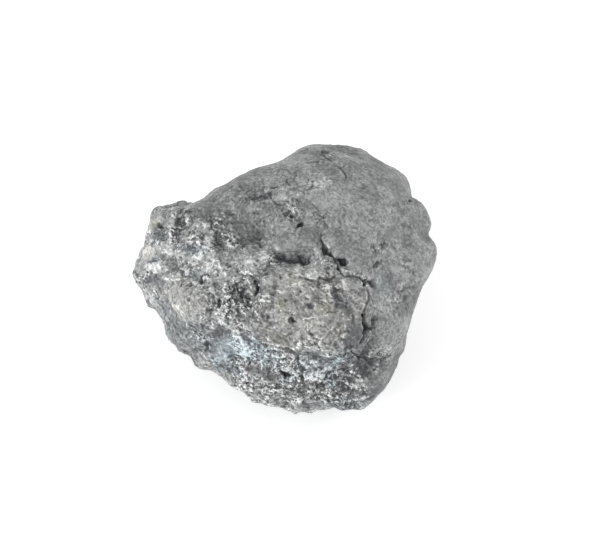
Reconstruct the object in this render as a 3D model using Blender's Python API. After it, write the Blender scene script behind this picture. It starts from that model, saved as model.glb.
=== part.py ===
"""Rough diamond: one loose lump of natural grey polycrystalline diamond.

The lump grew as one piece, so it is one solid, "rough_diamond". A smooth, skinned dome takes its upper
right and back. The rest is broken and crystalline: a raised boss with a cracked rim, a knob, a shelf,
a ledge and a front face of coarse crystals. It lies on a small flat cleavage on its underside.

The relief is laid out on the show plane, the plane square to the line from which the lump shows best,
SHOW_TILT above the horizon. There "across" runs to the right, "up" runs up the plane and "out" comes
towards the eye. Lengths are in millimetres, and MM turns them into Blender's metres.
"""

import math

import bmesh
import bpy
from mathutils import Matrix, Vector, noise

MM = 0.001
TINY = 1e-7
SEED = 1  # of the vector noise that the forms' edges stray by
SHOW_TILT = math.radians(55)

# Reach of the lump from its middle, in millimetres, at bearings in degrees anticlockwise from "across".
OUTLINE = (
    (0, 13.1), (6, 13.95), (11, 14.25), (16, 13.9),  # lower right lobe
    (20, 14.4), (24, 14.65), (30, 14.4), (33, 14.2),  # right shoulder
    (37, 14.5), (42, 14.5), (50, 14.1), (60, 13.75), (68, 13.45), (74, 12.85),  # dome
    (80, 12.35), (87, 11.5), (95, 10.75), (100, 10.5), (110, 10.25), (120, 10.3),  # upper slope
    (128, 10.45), (136, 10.5),
    (141, 11.25), (146, 12.6), (152, 13.6), (158, 13.55), (166, 13.3),  # knob
    (170, 13.6), (176, 14.1), (181, 13.8), (186, 13.15), (193, 12.6), (197, 11.75),  # left flank
    (204, 12.05), (208, 12.05), (214, 11.6), (220, 11.25), (226, 11.35), (231, 10.8),  # shelf
    (236, 10.6), (244, 11.0), (256, 11.4), (266, 11.95), (274, 12.05),  # front face
    (280, 12.7), (284, 12.55), (290, 12.7),
    (296, 13.45), (302, 13.85), (312, 13.7), (320, 13.35),  # lower right corner
    (330, 12.9), (336, 12.35), (346, 12.3), (354, 12.55),  # right flank
)  # fmt: skip
OUTLINE_ROUNDING = 2.5  # degrees over which the outline's corners are rounded
BODY_ROUNDING = 38  # degrees of rounding away from the rim, where only the lump's broad form is left
RIM_HOLD = 5  # how closely the outline's lobes keep to the rim
OUT_DEPTH = 9.6
BACK_DEPTH = 9.4
RIM_FULLNESS = 0.9  # below 1 the body is fuller towards its rim than an ellipsoid
DEPTH_FULLNESS = 0.95  # and towards its front and back
LEAN = 0.22  # how far the body leans back for each millimetre up the show plane
SWAY = 0.06  # and for each millimetre across it
FOOT_CUT = 8.3  # the cleavage it lies on, this far below the middle of the outline

# Flat breaks that trim the body: the way they face (across, up, out), and how far they lie from its middle.
BREAKS = (
    ((-0.62, 0.45, -0.64), 9.9),  # back left
    ((0.66, 0.50, -0.56), 10.3),  # back right
    ((0.10, 0.86, -0.50), 10.2),  # back
    ((-0.55, -0.35, -0.76), 8.8),  # under the knob
    ((0.80, -0.20, -0.57), 10.4),  # under the right lobe
    ((-0.72, 0.10, 0.69), 10.6),  # left cheek
    ((0.05, -0.78, 0.62), 11.0),  # front face
    ((-0.50, -0.62, 0.60), 10.3),  # front of the shelf
    ((-0.42, 0.70, 0.58), 10.0),  # upper slope
    ((0.62, 0.05, 0.78), 11.2),  # right flank
)
BREAK_EDGE = 1.2  # rounding where a break meets the body
BREAK_SHARE = 0.9  # how much it takes off of what stands beyond it
TRIM_HOLD = 12  # how closely the outline keeps clear of the breaks

# Swells and hollows of the sides, back and underside: middle (across, up, out), size, rise.
FAR_SWELLS = (
    (-5.5, 9.0, -5.0, 3.8, 0.9),
    (5.5, 8.5, -6.5, 4.2, 0.8),
    (0.2, 9.6, -6.8, 2.0, -0.9),
    (11.0, 3.5, -5.5, 2.6, -0.9),
    (12.5, -2.5, -2.5, 2.6, 0.5),
    (-10.5, 3.0, -5.0, 3.2, -0.9),
    (-11.5, -3.0, -2.5, 2.4, -0.6),
    (3.5, 1.5, -10.0, 3.0, -0.7),
    (-4.0, 5.0, -8.5, 2.2, 0.6),
    (8.5, -8.0, -4.0, 2.8, 0.6),
    (1.0, -10.5, -4.5, 2.6, -0.7),
    (12.0, 1.0, -2.5, 1.1, -0.5),
    (11.5, -4.8, -0.5, 0.9, -0.5),
    (10.5, 0.0, -6.0, 1.3, -0.55),
    (9.5, 5.5, -6.5, 0.8, -0.5),
    (12.0, 4.5, -1.5, 0.8, -0.4),
    (7.0, 9.5, -2.0, 0.9, -0.4),
    (2.5, 10.0, -3.5, 1.0, -0.5),
    (-3.0, 9.5, -3.0, 0.8, -0.5),
    (-1.5, 7.5, -9.0, 1.1, -0.55),
    (-12.5, 0.5, -1.0, 0.9, -0.5),
)

# Broad rises and hollows of the show face: middle (across, up), half width, half height,
# turn in degrees, rise.
SWELLS = (
    (5.0, 6.5, 5.5, 3.8, -25, 0.7),  # crown of the dome
    (-10.8, 4.4, 2.6, 3.2, 15, 1.0),  # knob
    (-8.0, -2.2, 3.4, 2.0, -30, 0.9),  # left cheek
    (-4.8, 2.0, 4.6, 1.2, -35, 0.7),  # ridge from the knob to the boss
    (-3.2, 4.8, 4.6, 1.5, -38, -1.7),  # valley between the ridge and the dome
    (9.8, -4.6, 1.9, 3.8, -10, 0.9),  # swell of the right flank
    (-2.1, 3.7, 1.3, 1.0, -20, -0.9),  # deepest part of the valley
    (-3.9, -1.4, 1.6, 1.4, 20, -1.1),  # hollow between the cheek and the boss
    (8.4, -7.2, 1.6, 1.8, -20, -1.6),  # hollow in the right flank
    (5.2, -9.9, 1.3, 0.9, 40, -0.5),  # hollow at the foot of the front face
    (10.4, -1.7, 2.4, 0.7, 12, -0.5),  # crease under the right lobe
    (12.3, 3.8, 1.8, 0.6, 20, -0.3),  # crease between the right lobes
    (10.2, -8.8, 1.2, 4.2, -38, 0.6),  # smooth rim of the right flank
    (-2.9, -6.6, 1.6, 1.0, -15, 0.6),  # shoulder of the front face
    (-7.2, -6.8, 2.6, 1.2, -35, -0.8),  # shelf
    (3.9, -8.2, 0.9, 0.9, 30, 0.5),  # pale crystal of the front face
    (4.0, 9.5, 2.2, 0.7, -20, -0.35),  # dent in the top of the dome
    (9.2, 5.6, 2.4, 1.6, -50, 0.45),  # right shoulder of the dome
    (8.9, 2.9, 1.5, 1.1, -30, -0.2),  # dip below it
    (10.6, 0.9, 1.6, 1.3, 20, 0.45),  # right lobe
    (1.0, 7.6, 1.6, 1.0, 20, 0.35),
    (-2.0, 9.0, 2.2, 0.8, 35, -0.35),
)

# Steep-sided forms: middle (across, up), half width, half height, turn, rise, share of it lost
# towards the upper side, width of the steep edge.
BLOCKS = (
    (2.7, -2.9, 5.2, 3.9, -12, 1.5, 0.7, 1.3),  # boss
    (3.4, -2.4, 4.1, 2.7, -12, 0.3, 0.0, 0.6),  # its upper tread
    (-9.7, -1.9, 3.0, 1.7, -35, 0.5, 0.3, 0.8),  # slab of the left cheek
    (0.6, 1.75, 1.75, 0.62, -4, -1.6, 0.0, 0.5),  # recess under the dome's lip
    (5.3, -2.0, 1.6, 0.6, -52, -0.6, 0.0, 0.5),  # dark hollow in the boss
)

# Round pits of the show face: middle (across, up), radius, depth.
PITS = (
    (3.9, 2.5, 0.50, 0.9),
    (5.3, 1.35, 0.60, 1.2),
    (7.55, -0.4, 0.45, 1.2),
    (0.8, -4.0, 0.42, 0.8),
    (0.7, 6.1, 0.40, 0.6),
    (1.5, 4.9, 0.42, 0.7),
    (8.6, 1.2, 0.40, 0.5),
    (-11.4, 4.7, 0.65, 0.8),
    (-7.6, 0.1, 0.50, 0.8),
    (-8.7, -0.6, 0.40, 0.6),
    (-6.1, -2.4, 0.50, 0.7),
    (-6.8, -6.1, 0.60, 0.7),
    (-5.7, 3.8, 0.60, 0.6),
    (0.2, -9.0, 0.55, 0.6),
    (-2.3, -8.0, 0.40, 0.4),
)

# Cracks and grooves of the show face: the line they follow, half width, depth.
GROOVES = (
    (((3.4, 4.0), (3.9, 2.6), (5.3, 1.3), (5.9, 0.3), (7.5, -0.4)), 0.34, 0.6),  # crack under the dome
    (((7.5, -0.4), (7.9, -1.5), (7.6, -2.5), (7.4, -3.5)), 0.32, 0.6),  # rim of the boss
    (((7.4, -3.4), (7.9, -4.7), (7.4, -5.7), (6.9, -6.8)), 0.50, 1.7),  # open crack at the foot of the boss
    (((1.6, 0.1), (2.9, -0.35), (3.5, 0.0), (4.9, 0.2)), 0.26, 0.45),  # crack across the boss
    (((-3.3, -5.0), (0.0, -6.3), (2.4, -6.9), (5.2, -7.1)), 0.40, 0.45),  # foot of the ledge
    (((1.4, -6.6), (1.7, -9.4)), 0.30, 0.35),  # groove down the front face
    (((4.3, -8.6), (3.3, -10.0)), 0.32, 0.35),
    (((-3.5, 7.6), (-1.1, 7.4)), 0.42, 0.45),  # scratch in the upper slope
    (((-12.3, -2.6), (-10.4, -4.1), (-7.4, -4.8)), 0.45, 0.9),  # step above the shelf
)
FORM_WANDER = 0.35  # how far the edges of these forms stray
FORM_WANDER_SIZE = 1.3
RIM_BAND = 0.35  # how square the surface stands to the show plane where the relief is whole again

# Where the smooth skin of the dome ends: (across, up) along its lower edge, and its left edge lower down.
SKIN_EDGE_ACROSS = (-9.5, -2.0, 5.0, 8.0)
SKIN_EDGE_UP = (7.6, 3.0, 1.5, 0.2)
SKIN_RIGHT = 8.1
SKIN_BACK = 0.35  # how much higher that edge runs for each millimetre towards the back
SKIN_FADE = 0.7
SKIN_WANDER = 1.6
SKIN_WANDER_SIZE = 3.0

# Broken patches of the sides, back and underside: middle (across, up, out), radius.
BROKEN_PATCHES = (
    (-7.5, 4.5, -7.0, 4.6),
    (6.5, -6.0, -6.5, 4.4),
    (11.0, 6.5, -5.0, 2.8),
    (0.5, 10.5, -8.0, 2.4),
)

# Unevenness of the whole surface: size of one lump, how far it stands out.
LUMPS = ((7.0, 0.8), (3.0, 0.42), (1.5, 0.14))
RIM_LUMPS = 0.2  # share of them at the rim, which keeps the outline
BROKEN_LUMPS = ((1.6, 0.22), (0.8, 0.09))  # and where it is broken

BROKEN_LOSS = 0.1  # what the breaking took off

# Mosaics of flat crystal faces on the broken surface: width of a crystal, lean of its face,
# step to the next.
CRYSTALS = ((2.8, 0.16, 0.10), (1.3, 0.14, 0.05))
FAR_FACETS = (5.5, 0.16, 0.12)  # and of the broad breaks everywhere but on the show face
FAR_FADE = 1.5  # depth over which those fade in behind the rim

# Where the broken surface is calmer: middle (across, up), half width, half height, turn, how much.
CALM = (
    (3.2, -2.6, 5.0, 3.4, -12, 0.7),  # top of the boss
    (-8.4, -2.2, 3.0, 1.8, -30, 0.6),  # left cheek
    (-2.0, 2.5, 3.0, 2.2, -35, 0.5),  # slope below the valley
)
FOOT_CALM = 0.9  # height over the cleavage within which the surface smooths out into it

SPHERE_STEPS = 7
RELIEF_SMOOTHINGS = 1
TRIANGLES = 9300
GREY = (0.235, 0.238, 0.24, 1)


def smooth_step(low, high, value):
    """0 at low, 1 at high, and a smooth rise between them."""
    share = min(1.0, max(0.0, (value - low) / (high - low)))
    return share * share * (3 - 2 * share)


def between(value, places, heights):
    """The height at value on the broken line through places and heights, flat past its ends."""
    if value <= places[0]:
        return heights[0]
    for i in range(1, len(places)):
        if value <= places[i]:
            share = (value - places[i - 1]) / (places[i] - places[i - 1])
            return heights[i - 1] + share * (heights[i] - heights[i - 1])
    return heights[-1]


def outline_reach(bearing, rounding):
    """The outline's reach at a bearing, averaged over rounding degrees each side."""
    samples = (-1.0, -0.6, -0.2, 0.2, 0.6, 1.0)
    bearings = [OUTLINE[-1][0] - 360] + [place for place, _ in OUTLINE] + [360]
    reaches = [OUTLINE[-1][1]] + [reach for _, reach in OUTLINE] + [OUTLINE[0][1]]
    return sum(between((bearing + s * rounding) % 360, bearings, reaches) for s in samples) / len(samples)


def reach_tables():
    """The outline's reach and the body's, one value a degree."""
    rim = [outline_reach(degree, OUTLINE_ROUNDING) for degree in range(361)]
    body = [outline_reach(degree, BODY_ROUNDING) for degree in range(361)]
    return rim, body


def read_table(table, bearing):
    """A table's value at a bearing from 0 to 360 degrees."""
    low = min(359, int(bearing))
    return table[low] + (bearing - low) * (table[low + 1] - table[low])


def body_point(direction, rim, body):
    """Where the smooth body's surface lies in a direction from its middle, as (across, up, out)."""
    level = math.hypot(direction.x, direction.y)
    bearing = math.degrees(math.atan2(direction.y, direction.x)) % 360
    hold = level**RIM_HOLD
    reach = read_table(rim, bearing) * hold + read_table(body, bearing) * (1 - hold)
    spread = level**RIM_FULLNESS / max(level, TINY)
    across = reach * spread * direction.x
    up = reach * spread * direction.y
    depth = OUT_DEPTH if direction.z > 0 else BACK_DEPTH
    out = depth * math.copysign(abs(direction.z) ** DEPTH_FULLNESS, direction.z)
    return Vector((across, up, out - LEAN * up + SWAY * across))


def trimmed(place):
    """A place of the body after the flat breaks have trimmed it."""
    for facing, distance in BREAKS:
        normal = Vector(facing).normalized()
        beyond = place.dot(normal) - distance
        excess = (beyond + math.hypot(beyond, BREAK_EDGE / 2)) / 2
        place = place - normal * excess * BREAK_SHARE
    return place


def in_turned_box(across, up, middle_across, middle_up, half_width, half_height, turn):
    """A place seen from a turned form's middle, in half widths and half heights."""
    angle = math.radians(turn)
    x = across - middle_across
    y = up - middle_up
    along = x * math.cos(angle) + y * math.sin(angle)
    aside = y * math.cos(angle) - x * math.sin(angle)
    return along / half_width, aside / half_height


def distance_to_line(across, up, line):
    """How far a place is from a broken line."""
    here = Vector((across, up))
    nearest = 1e9
    for start, end in zip(line, line[1:]):
        first = Vector(start)
        step = Vector(end) - first
        share = min(1.0, max(0.0, (here - first).dot(step) / step.length_squared))
        nearest = min(nearest, (here - first - step * share).length)
    return nearest


def show_relief(place):
    """How far the show face stands out from the smooth body at a place."""
    stray = noise.noise_vector(place / FORM_WANDER_SIZE) * FORM_WANDER
    across = place.x + stray.x
    up = place.y + stray.y
    rise = 0.0
    for *form, height in SWELLS:
        x, y = in_turned_box(across, up, *form)
        rise += height * math.exp(-(x * x + y * y))
    for *form, height, fall, edge in BLOCKS:
        x, y = in_turned_box(across, up, *form)
        inside = (1 - (x**4 + y**4) ** 0.25) * min(form[2], form[3])
        rise += height * (1 - fall * smooth_step(-1, 1, y)) * smooth_step(-edge / 2, edge / 2, inside)
    for middle_across, middle_up, radius, depth in PITS:
        away = math.hypot(across - middle_across, up - middle_up) / radius
        rise -= depth * math.exp(-(away**4) / 2)
    for line, half_width, depth in GROOVES:
        away = distance_to_line(across, up, line) / half_width
        rise -= depth * math.exp(-away * away)
    return rise


def skin(place):
    """1 where the dome's smooth skin is, 0 where the lump is broken and crystalline."""
    wander = noise.noise(place / SKIN_WANDER_SIZE) * SKIN_WANDER
    above = place.y + min(place.z, 0) * SKIN_BACK - between(place.x, SKIN_EDGE_ACROSS, SKIN_EDGE_UP)
    inside = max(above, place.x - SKIN_RIGHT) + wander
    for *middle, radius in BROKEN_PATCHES:
        inside = min(inside, (place - Vector(middle)).length - radius + wander)
    return smooth_step(-SKIN_FADE, SKIN_FADE, inside)


def crystal_faces(place, width, lean, step):
    """Height of a mosaic of flat, tilted faces, one to each Voronoi cell."""
    cell = place / width
    nearest = noise.voronoi(cell)[1][0]
    facing = noise.cell_vector(nearest) * 2 - Vector((1, 1, 1))
    return (cell - nearest).dot(facing) * width * lean + facing.x * step


def broken_strength(place):
    """How coarse the broken surface is: 0 on the skin, 1 where the crystals stand out most."""
    strength = 1 - skin(place)
    if place.z > 0:
        for *form, calm in CALM:
            x, y = in_turned_box(place.x, place.y, *form)
            strength *= 1 - calm * math.exp(-(x**4 + y**4))
    return strength


def surface_rise(place, normal):
    """How far the surface's swells, lumps and crystals stand out at a place."""
    rise = sum(height * noise.noise(place / size) for size, height in LUMPS)
    for *middle, size, height in FAR_SWELLS:
        rise += height * math.exp(-(place - Vector(middle)).length_squared / size**2)
    rise += crystal_faces(place, *FAR_FACETS) * smooth_step(FAR_FADE, -FAR_FADE, place.z + LEAN * place.y)
    rise *= RIM_LUMPS + (1 - RIM_LUMPS) * smooth_step(0, RIM_BAND, abs(normal.z))
    strength = broken_strength(place)
    if strength > 0:
        broken = sum(crystal_faces(place, *crystals) for crystals in CRYSTALS)
        broken += sum(height * noise.noise(place / size) for size, height in BROKEN_LUMPS) - BROKEN_LOSS
        rise += broken * strength
    height = place.y * math.cos(SHOW_TILT) + place.z * math.sin(SHOW_TILT) + FOOT_CUT
    return rise * smooth_step(0, FOOT_CALM, height)


def shaped_sphere():
    """A fine sphere drawn out to the lump, on the show plane, in millimetres."""
    shape = bmesh.new()
    bmesh.ops.create_icosphere(shape, subdivisions=SPHERE_STEPS, radius=1)
    rim, body = reach_tables()
    for vertex in shape.verts:
        direction = vertex.co.normalized()
        vertex.co = body_point(direction, rim, body)
        level = math.hypot(direction.x, direction.y)
        vertex.co = trimmed(vertex.co).lerp(vertex.co, level**TRIM_HOLD)
        facing = smooth_step(0, RIM_BAND, direction.z)
        if facing > 0:
            vertex.co.z += facing * show_relief(vertex.co)
    for _ in range(RELIEF_SMOOTHINGS):
        bmesh.ops.smooth_vert(
            shape, verts=shape.verts, factor=0.5, use_axis_x=True, use_axis_y=True, use_axis_z=True
        )
    shape.normal_update()
    moves = [vertex.normal * surface_rise(vertex.co, vertex.normal) for vertex in shape.verts]
    for vertex, move in zip(shape.verts, moves):
        vertex.co += move
    return shape


def stand_up(shape):
    """Turns the show plane to its tilt, with +Z up, and goes from millimetres to metres."""
    turn = Matrix.Rotation(math.pi / 2 - SHOW_TILT, 4, "X")
    bmesh.ops.transform(shape, matrix=Matrix.Scale(MM, 4) @ turn, verts=shape.verts)


def thinned(shape):
    """The shape with as many triangles as a solid should have, most of them where it is uneven."""
    mesh = bpy.data.meshes.new("fine_lump")
    shape.to_mesh(mesh)
    shape.free()
    lump = bpy.data.objects.new("fine_lump", mesh)
    bpy.context.scene.collection.objects.link(lump)
    thinning = lump.modifiers.new("thinning", "DECIMATE")
    thinning.ratio = TRIANGLES / len(mesh.polygons)
    graph = bpy.context.evaluated_depsgraph_get()
    thin = bpy.data.meshes.new_from_object(lump.evaluated_get(graph))
    bpy.data.objects.remove(lump)
    bpy.data.meshes.remove(mesh)
    shape = bmesh.new()
    shape.from_mesh(thin)
    bpy.data.meshes.remove(thin)
    return shape


def cut_foot(shape):
    """Cleaves the underside flat, so that the lump lies on it."""
    everything = shape.verts[:] + shape.edges[:] + shape.faces[:]
    plane = Vector((0, 0, -FOOT_CUT * MM))
    cut = bmesh.ops.bisect_plane(
        shape, geom=everything, dist=TINY, plane_co=plane, plane_no=(0, 0, -1), clear_outer=True
    )
    edges = [part for part in cut["geom_cut"] if isinstance(part, bmesh.types.BMEdge)]
    bmesh.ops.holes_fill(shape, edges=edges)
    bmesh.ops.triangulate(shape, faces=[face for face in shape.faces if len(face.verts) > 3])


def centre_on_foot(shape):
    """Puts the origin at the middle of the lump's box, on the surface that it lies on."""
    places = [vertex.co for vertex in shape.verts]
    low = Vector([min(place[axis] for place in places) for axis in range(3)])
    high = Vector([max(place[axis] for place in places) for axis in range(3)])
    origin = Vector(((low.x + high.x) / 2, (low.y + high.y) / 2, low.z))
    bmesh.ops.translate(shape, vec=-origin, verts=shape.verts)


def diamond_material():
    """Grey polycrystalline diamond: dull with a slight submetallic lustre."""
    material = bpy.data.materials.new("grey_diamond")
    material.use_nodes = True
    surface = material.node_tree.nodes["Principled BSDF"]
    surface.inputs["Base Color"].default_value = GREY
    surface.inputs["Roughness"].default_value = 0.5
    surface.inputs["Metallic"].default_value = 0.15
    return material


def build_diamond(collection):
    shape = shaped_sphere()
    stand_up(shape)
    shape = thinned(shape)
    cut_foot(shape)
    centre_on_foot(shape)
    mesh = bpy.data.meshes.new("rough_diamond")
    shape.to_mesh(mesh)
    shape.free()
    mesh.materials.append(diamond_material())
    collection.objects.link(bpy.data.objects.new("rough_diamond", mesh))


def main():
    noise.seed_set(SEED)
    for old in list(bpy.data.objects):
        bpy.data.objects.remove(old)
    collection = bpy.data.collections.new("rough_diamond")
    bpy.context.scene.collection.children.link(collection)
    build_diamond(collection)


main()
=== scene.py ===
"""Rough diamond: the finish of one loose lump of natural grey polycrystalline diamond.

The lump's solid comes from the frame. Here its surface is rebuilt of small faces, its skin is worn smooth,
its outline is brought to its place, and its crystals, pits, cracks, seams and blades are cut. The relief and
the stains, with the light and shade that are painted among them, are laid out on the show plane, which is
square to the line from which the lump shows best: "across" runs to the right, "up" runs up the plane and
"out" comes towards the eye. Lengths are in millimetres, unless they say otherwise, and on the show plane
they count from the middle of the lump.
"""

import math
import random

import bmesh
import bpy
import numpy as np
from bpy.props import FloatProperty, FloatVectorProperty, IntProperty, PointerProperty
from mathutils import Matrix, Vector, noise


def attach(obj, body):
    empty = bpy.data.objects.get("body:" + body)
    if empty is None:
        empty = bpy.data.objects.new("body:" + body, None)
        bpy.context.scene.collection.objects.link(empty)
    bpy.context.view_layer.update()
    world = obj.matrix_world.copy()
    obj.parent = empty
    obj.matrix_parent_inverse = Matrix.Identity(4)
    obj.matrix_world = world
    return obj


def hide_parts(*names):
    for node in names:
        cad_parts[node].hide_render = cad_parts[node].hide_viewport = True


bl_info = {
    "name": "Rough Diamond",
    "version": (1, 0, 0),
    "blender": (4, 5, 0),
    "location": "View3D > Sidebar > Diamond",
    "description": "Gives a rough grey diamond its crystalline surface, its finish and a plain stage",
    "category": "Add Mesh",
}

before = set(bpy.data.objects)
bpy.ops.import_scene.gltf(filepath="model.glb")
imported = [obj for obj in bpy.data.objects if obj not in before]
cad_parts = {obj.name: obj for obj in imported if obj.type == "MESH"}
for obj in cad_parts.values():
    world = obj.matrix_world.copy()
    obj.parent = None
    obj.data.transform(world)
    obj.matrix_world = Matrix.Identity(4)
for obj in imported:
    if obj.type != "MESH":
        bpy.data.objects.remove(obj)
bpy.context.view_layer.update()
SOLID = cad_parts["rough_diamond"]

MM = 0.001
SHOW_TILT = math.radians(55)
ACROSS = Vector((1, 0, 0))
UP = Vector((0, math.sin(SHOW_TILT), math.cos(SHOW_TILT)))
OUT = Vector((0, -math.cos(SHOW_TILT), math.sin(SHOW_TILT)))
MIDDLE_HEIGHT = 8.3  # of the lump's middle over the cleavage that it lies on
EYE_AIM = np.array((1.515, 0.643))  # the point of the show plane that the eye looks at
EYE_AWAY = 184.0
SHARD_RUN = tuple(ACROSS * 0.7 - UP * 0.7)  # the way in which most of the long crystals run

# The part of a normal that points out: where each of these starts to hold, and where it holds in full.
TURNED_TO_EYE = (-0.05, 0.2)
NOT_TURNED_AWAY = (-0.8, -0.3)
INSIDE_RIM = (0.05, 0.35)

# How far a place lies in front of the show plane, and above what the lump lies on, in the same way.
IN_FRONT = (0.0, 1.0)
ABOVE_FOOT = (0.0, 0.8)

# Where the smooth skin begins: the dome's lower edge (across, up), and the right flank's left edge.
SKIN_EDGE_ACROSS = (-9.5, -2.0, 5.0, 8.0)
SKIN_EDGE_UP = (7.6, 3.0, 1.5, 0.2)
SKIN_RIGHT = 8.1
SKIN_BACK = 0.35  # how much higher the dome's edge runs for each millimetre towards the back
SKIN_FADE = 0.7  # half the width over which the skin ends
SKIN_WANDER = 1.6  # how far its edge strays, and the size of the noise that it follows
SKIN_WANDER_SIZE = 3.0

# Broken patches of the sides, back and underside: middle (across, up, out), radius.
BROKEN_PATCHES = (
    (-7.5, 4.5, -7.0, 4.6),
    (6.5, -6.0, -6.5, 4.4),
    (11.0, 6.5, -5.0, 2.8),
    (0.5, 10.5, -8.0, 2.4),
)

# Mosaics of flat crystal faces: width of a crystal, lean of its face, step to the next.
BROAD_CRYSTALS = (1.25, 0.11, 0.03)
FINE_CRYSTALS = (0.48, 0.2, 0.02)
LARGE_CRYSTALS = (0.85, 0.26, 0.05)  # where the lump is coarse

# Small scattered pits: how far apart they can lie, largest radius, depth, share of the places with one.
SPARSE_POCKS = (1.5, 0.26, 0.16, 0.45)
CLOSE_POCKS = (0.7, 0.13, 0.09, 0.5)
SMALLEST_POCK = 0.45  # as a share of the largest

# How much of the relief there is everywhere, and how much more where the lump is rough or broken.
FINE_RELIEF = (0.3, 0.7)
BROAD_RELIEF = (0.15, 0.85)
SPARSE_POCK_RELIEF = (0.15, 0.85)
CLOSE_POCK_RELIEF = (0.25, 0.75)
GRAIN_RELIEF = (0.015, 0.025)  # height of the finest grain
GRAIN_RELIEF_SIZE = 0.28
UNEVENNESS = ((3.2, 0.1), (1.5, 0.07), (0.7, 0.04))  # size and height of the gentle bumps everywhere
ROUGH_DEPTH = 0.1  # how far the rough hollows lie below the rest

# The rough, darker hollows between the smoother parts of the surface.
HOLLOW_SIZE = 1.5
HOLLOW_NOISE = (-0.15, 0.35)  # the noise from which a place starts to be rough, and is wholly rough
COARSE_ROUGHNESS = 0.5  # how much rougher the coarse parts are
STAIN_ROUGHNESS = 0.8  # how much rougher a dark stain is elsewhere, and how much smoother a light one
SKIN_ROUGHNESS = (0.2, 0.8)  # share of the roughness on the skin, and how much more where it is broken
RIM_CALM = 0.8
RIM_POCKS = 0.7  # share of the small pits that the rim is spared

# Noise that makes what is laid out irregular: its sizes, and how far it moves crystals, lines and patches.
FINE_SWAY_SIZE = 0.35
BROAD_SWAY_SIZE = 1.1
CRYSTAL_SWAY = 0.07
LINE_SWAY = (0.07, 0.1)  # by the fine and by the broad noise
PATCH_SWAY = (0.15, 0.2)
SWAY_SHIFTS = (11.3, 37.1, 71.7)  # how far apart the noise is read for each axis

# Painted shade and paleness of the relief: darker for each millimetre of depth, lighter for a whole blade,
# and darker and cooler on the rim; and the most that stains and painted shade may give.
CUT_SHADE = 5
PIT_SHADE = 3
POCK_SHADE = 4
BLADE_PALENESS = 0.9
RIM_SHADE = 0.08
RIM_COOL_SHADE = 0.5
MOST_STAIN_AND_SHADE = 2

# How strongly the painted glints, the dark flecks and the grain's contrast show: everywhere, more where
# rough, and more again where coarse.
GLINT = (0.12, 0.26, 0.95)
LEAST_GLINT = 0.1  # share of it that is left in a dark stain

# How far a place stands out from its surroundings: name, the rounds of smoothing that give the surroundings,
# and the height that counts in full.
# The material paints proud places lighter and hollow ones darker: painted highlight and painted shade.
RELIEF_SCALES = (("relief", 12, 0.04), ("hollow", 120, 0.25))

FOLDED = (0.3, 0.0)  # how well the normals before and after the cutting agree, from not folded to folded
UNFOLD_ROUNDS = 10

# Sizes of the finish's patterns. The coarser crystals are really about 0.2 mm wide. The grains between them,
# of 0.02 to 0.1 mm, are too fine to show, so they are drawn nearly as coarse.
GRAIN_SIZE = 0.17
FACE_SIZE = 0.21
SPECKLE_SIZE = 0.4
CHIP_SIZE = 0.5
VEIN_SIZE = 2.1
CLOUD_SIZE = 2.4
CLOUD_SWAY = 0.9  # how far the clouds and speckles move the faces, chips and veins
SPECKLE_SWAY = 0.12
SHARD_STRETCH = 0.5  # share taken off the pattern along SHARD_RUN, which makes them longer that way
MEAN_TONE = 0.53  # of the whole lump, from graphite at 0 to clear crystal at 1
BUMP_HEIGHT = 0.06

# The stage: where each light comes from, and its power in watts.
LIGHTS = {"key": ((-0.81, -0.5, 0.4), 1.4), "rim": ((0.88, 0.32, 0.45), 0.5)}
LIGHT_AWAY = 0.5  # metres
LIGHT_SIZE = 0.3  # metres
SKY_STRENGTH = 0.7
PAPER_SIZE = 4  # metres
PAPER_WHITE = (0.9, 0.9, 0.9, 1)
PAPER_ROUGHNESS = 0.9
PAPER_GLOW = 0.4
WHITE = (1, 1, 1, 1)

# Where the surface is calmer than around it. A mark of this and the next tables is an oval: its middle
# (across, up), half width, half height, turn in degrees and strength.
CALM = (
    (3.2, -2.8, 4.2, 2.8, -12, 0.6),  # top of the boss
    (-9.2, -2.0, 1.9, 1.6, -35, 1.0),  # left cheek
    (-3.1, 4.1, 0.9, 0.6, -10, 0.6),  # valley
    (-2.8, 1.6, 1.3, 1.0, -35, 0.8),  # slope below it
    (6.5, -1.5, 1.1, 1.6, 0, 0.8),  # tread of the boss
    (6.8, -5.1, 0.7, 1.1, 0, 0.9),  # shaded slope by the open crack
    (-1.0, -5.4, 1.9, 0.6, -25, 1.0),  # ledge
    (-5.8, -4.8, 0.9, 0.6, -30, 0.9),  # dark face of the shelf
    (-5.7, -6.5, 0.7, 0.9, -20, 0.8),  # its pale face
    (-9.2, -5.9, 1.5, 0.6, -35, 0.7),  # its left end
    (-1.4, -9.2, 0.7, 0.4, -25, 0.8),
    (1.9, -11.9, 1.6, 0.4, 0, 0.9),  # rim of the front face
    (-7.6, -7.9, 0.8, 0.3, -20, 0.8),
    (4.6, -7.9, 0.5, 0.3, 25, 0.9),
    (-11.9, 5.0, 0.7, 0.8, 0, 0.6),
    (-10.9, 2.7, 0.8, 0.6, 0, 0.6),
    (-4.6, 2.0, 0.5, 0.5, 0, 0.8),
    (2.5, 0.8, 0.9, 0.6, 0, 0.5),
    (7.2, -9.6, 0.7, 0.5, 0, 0.6),
)

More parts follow.
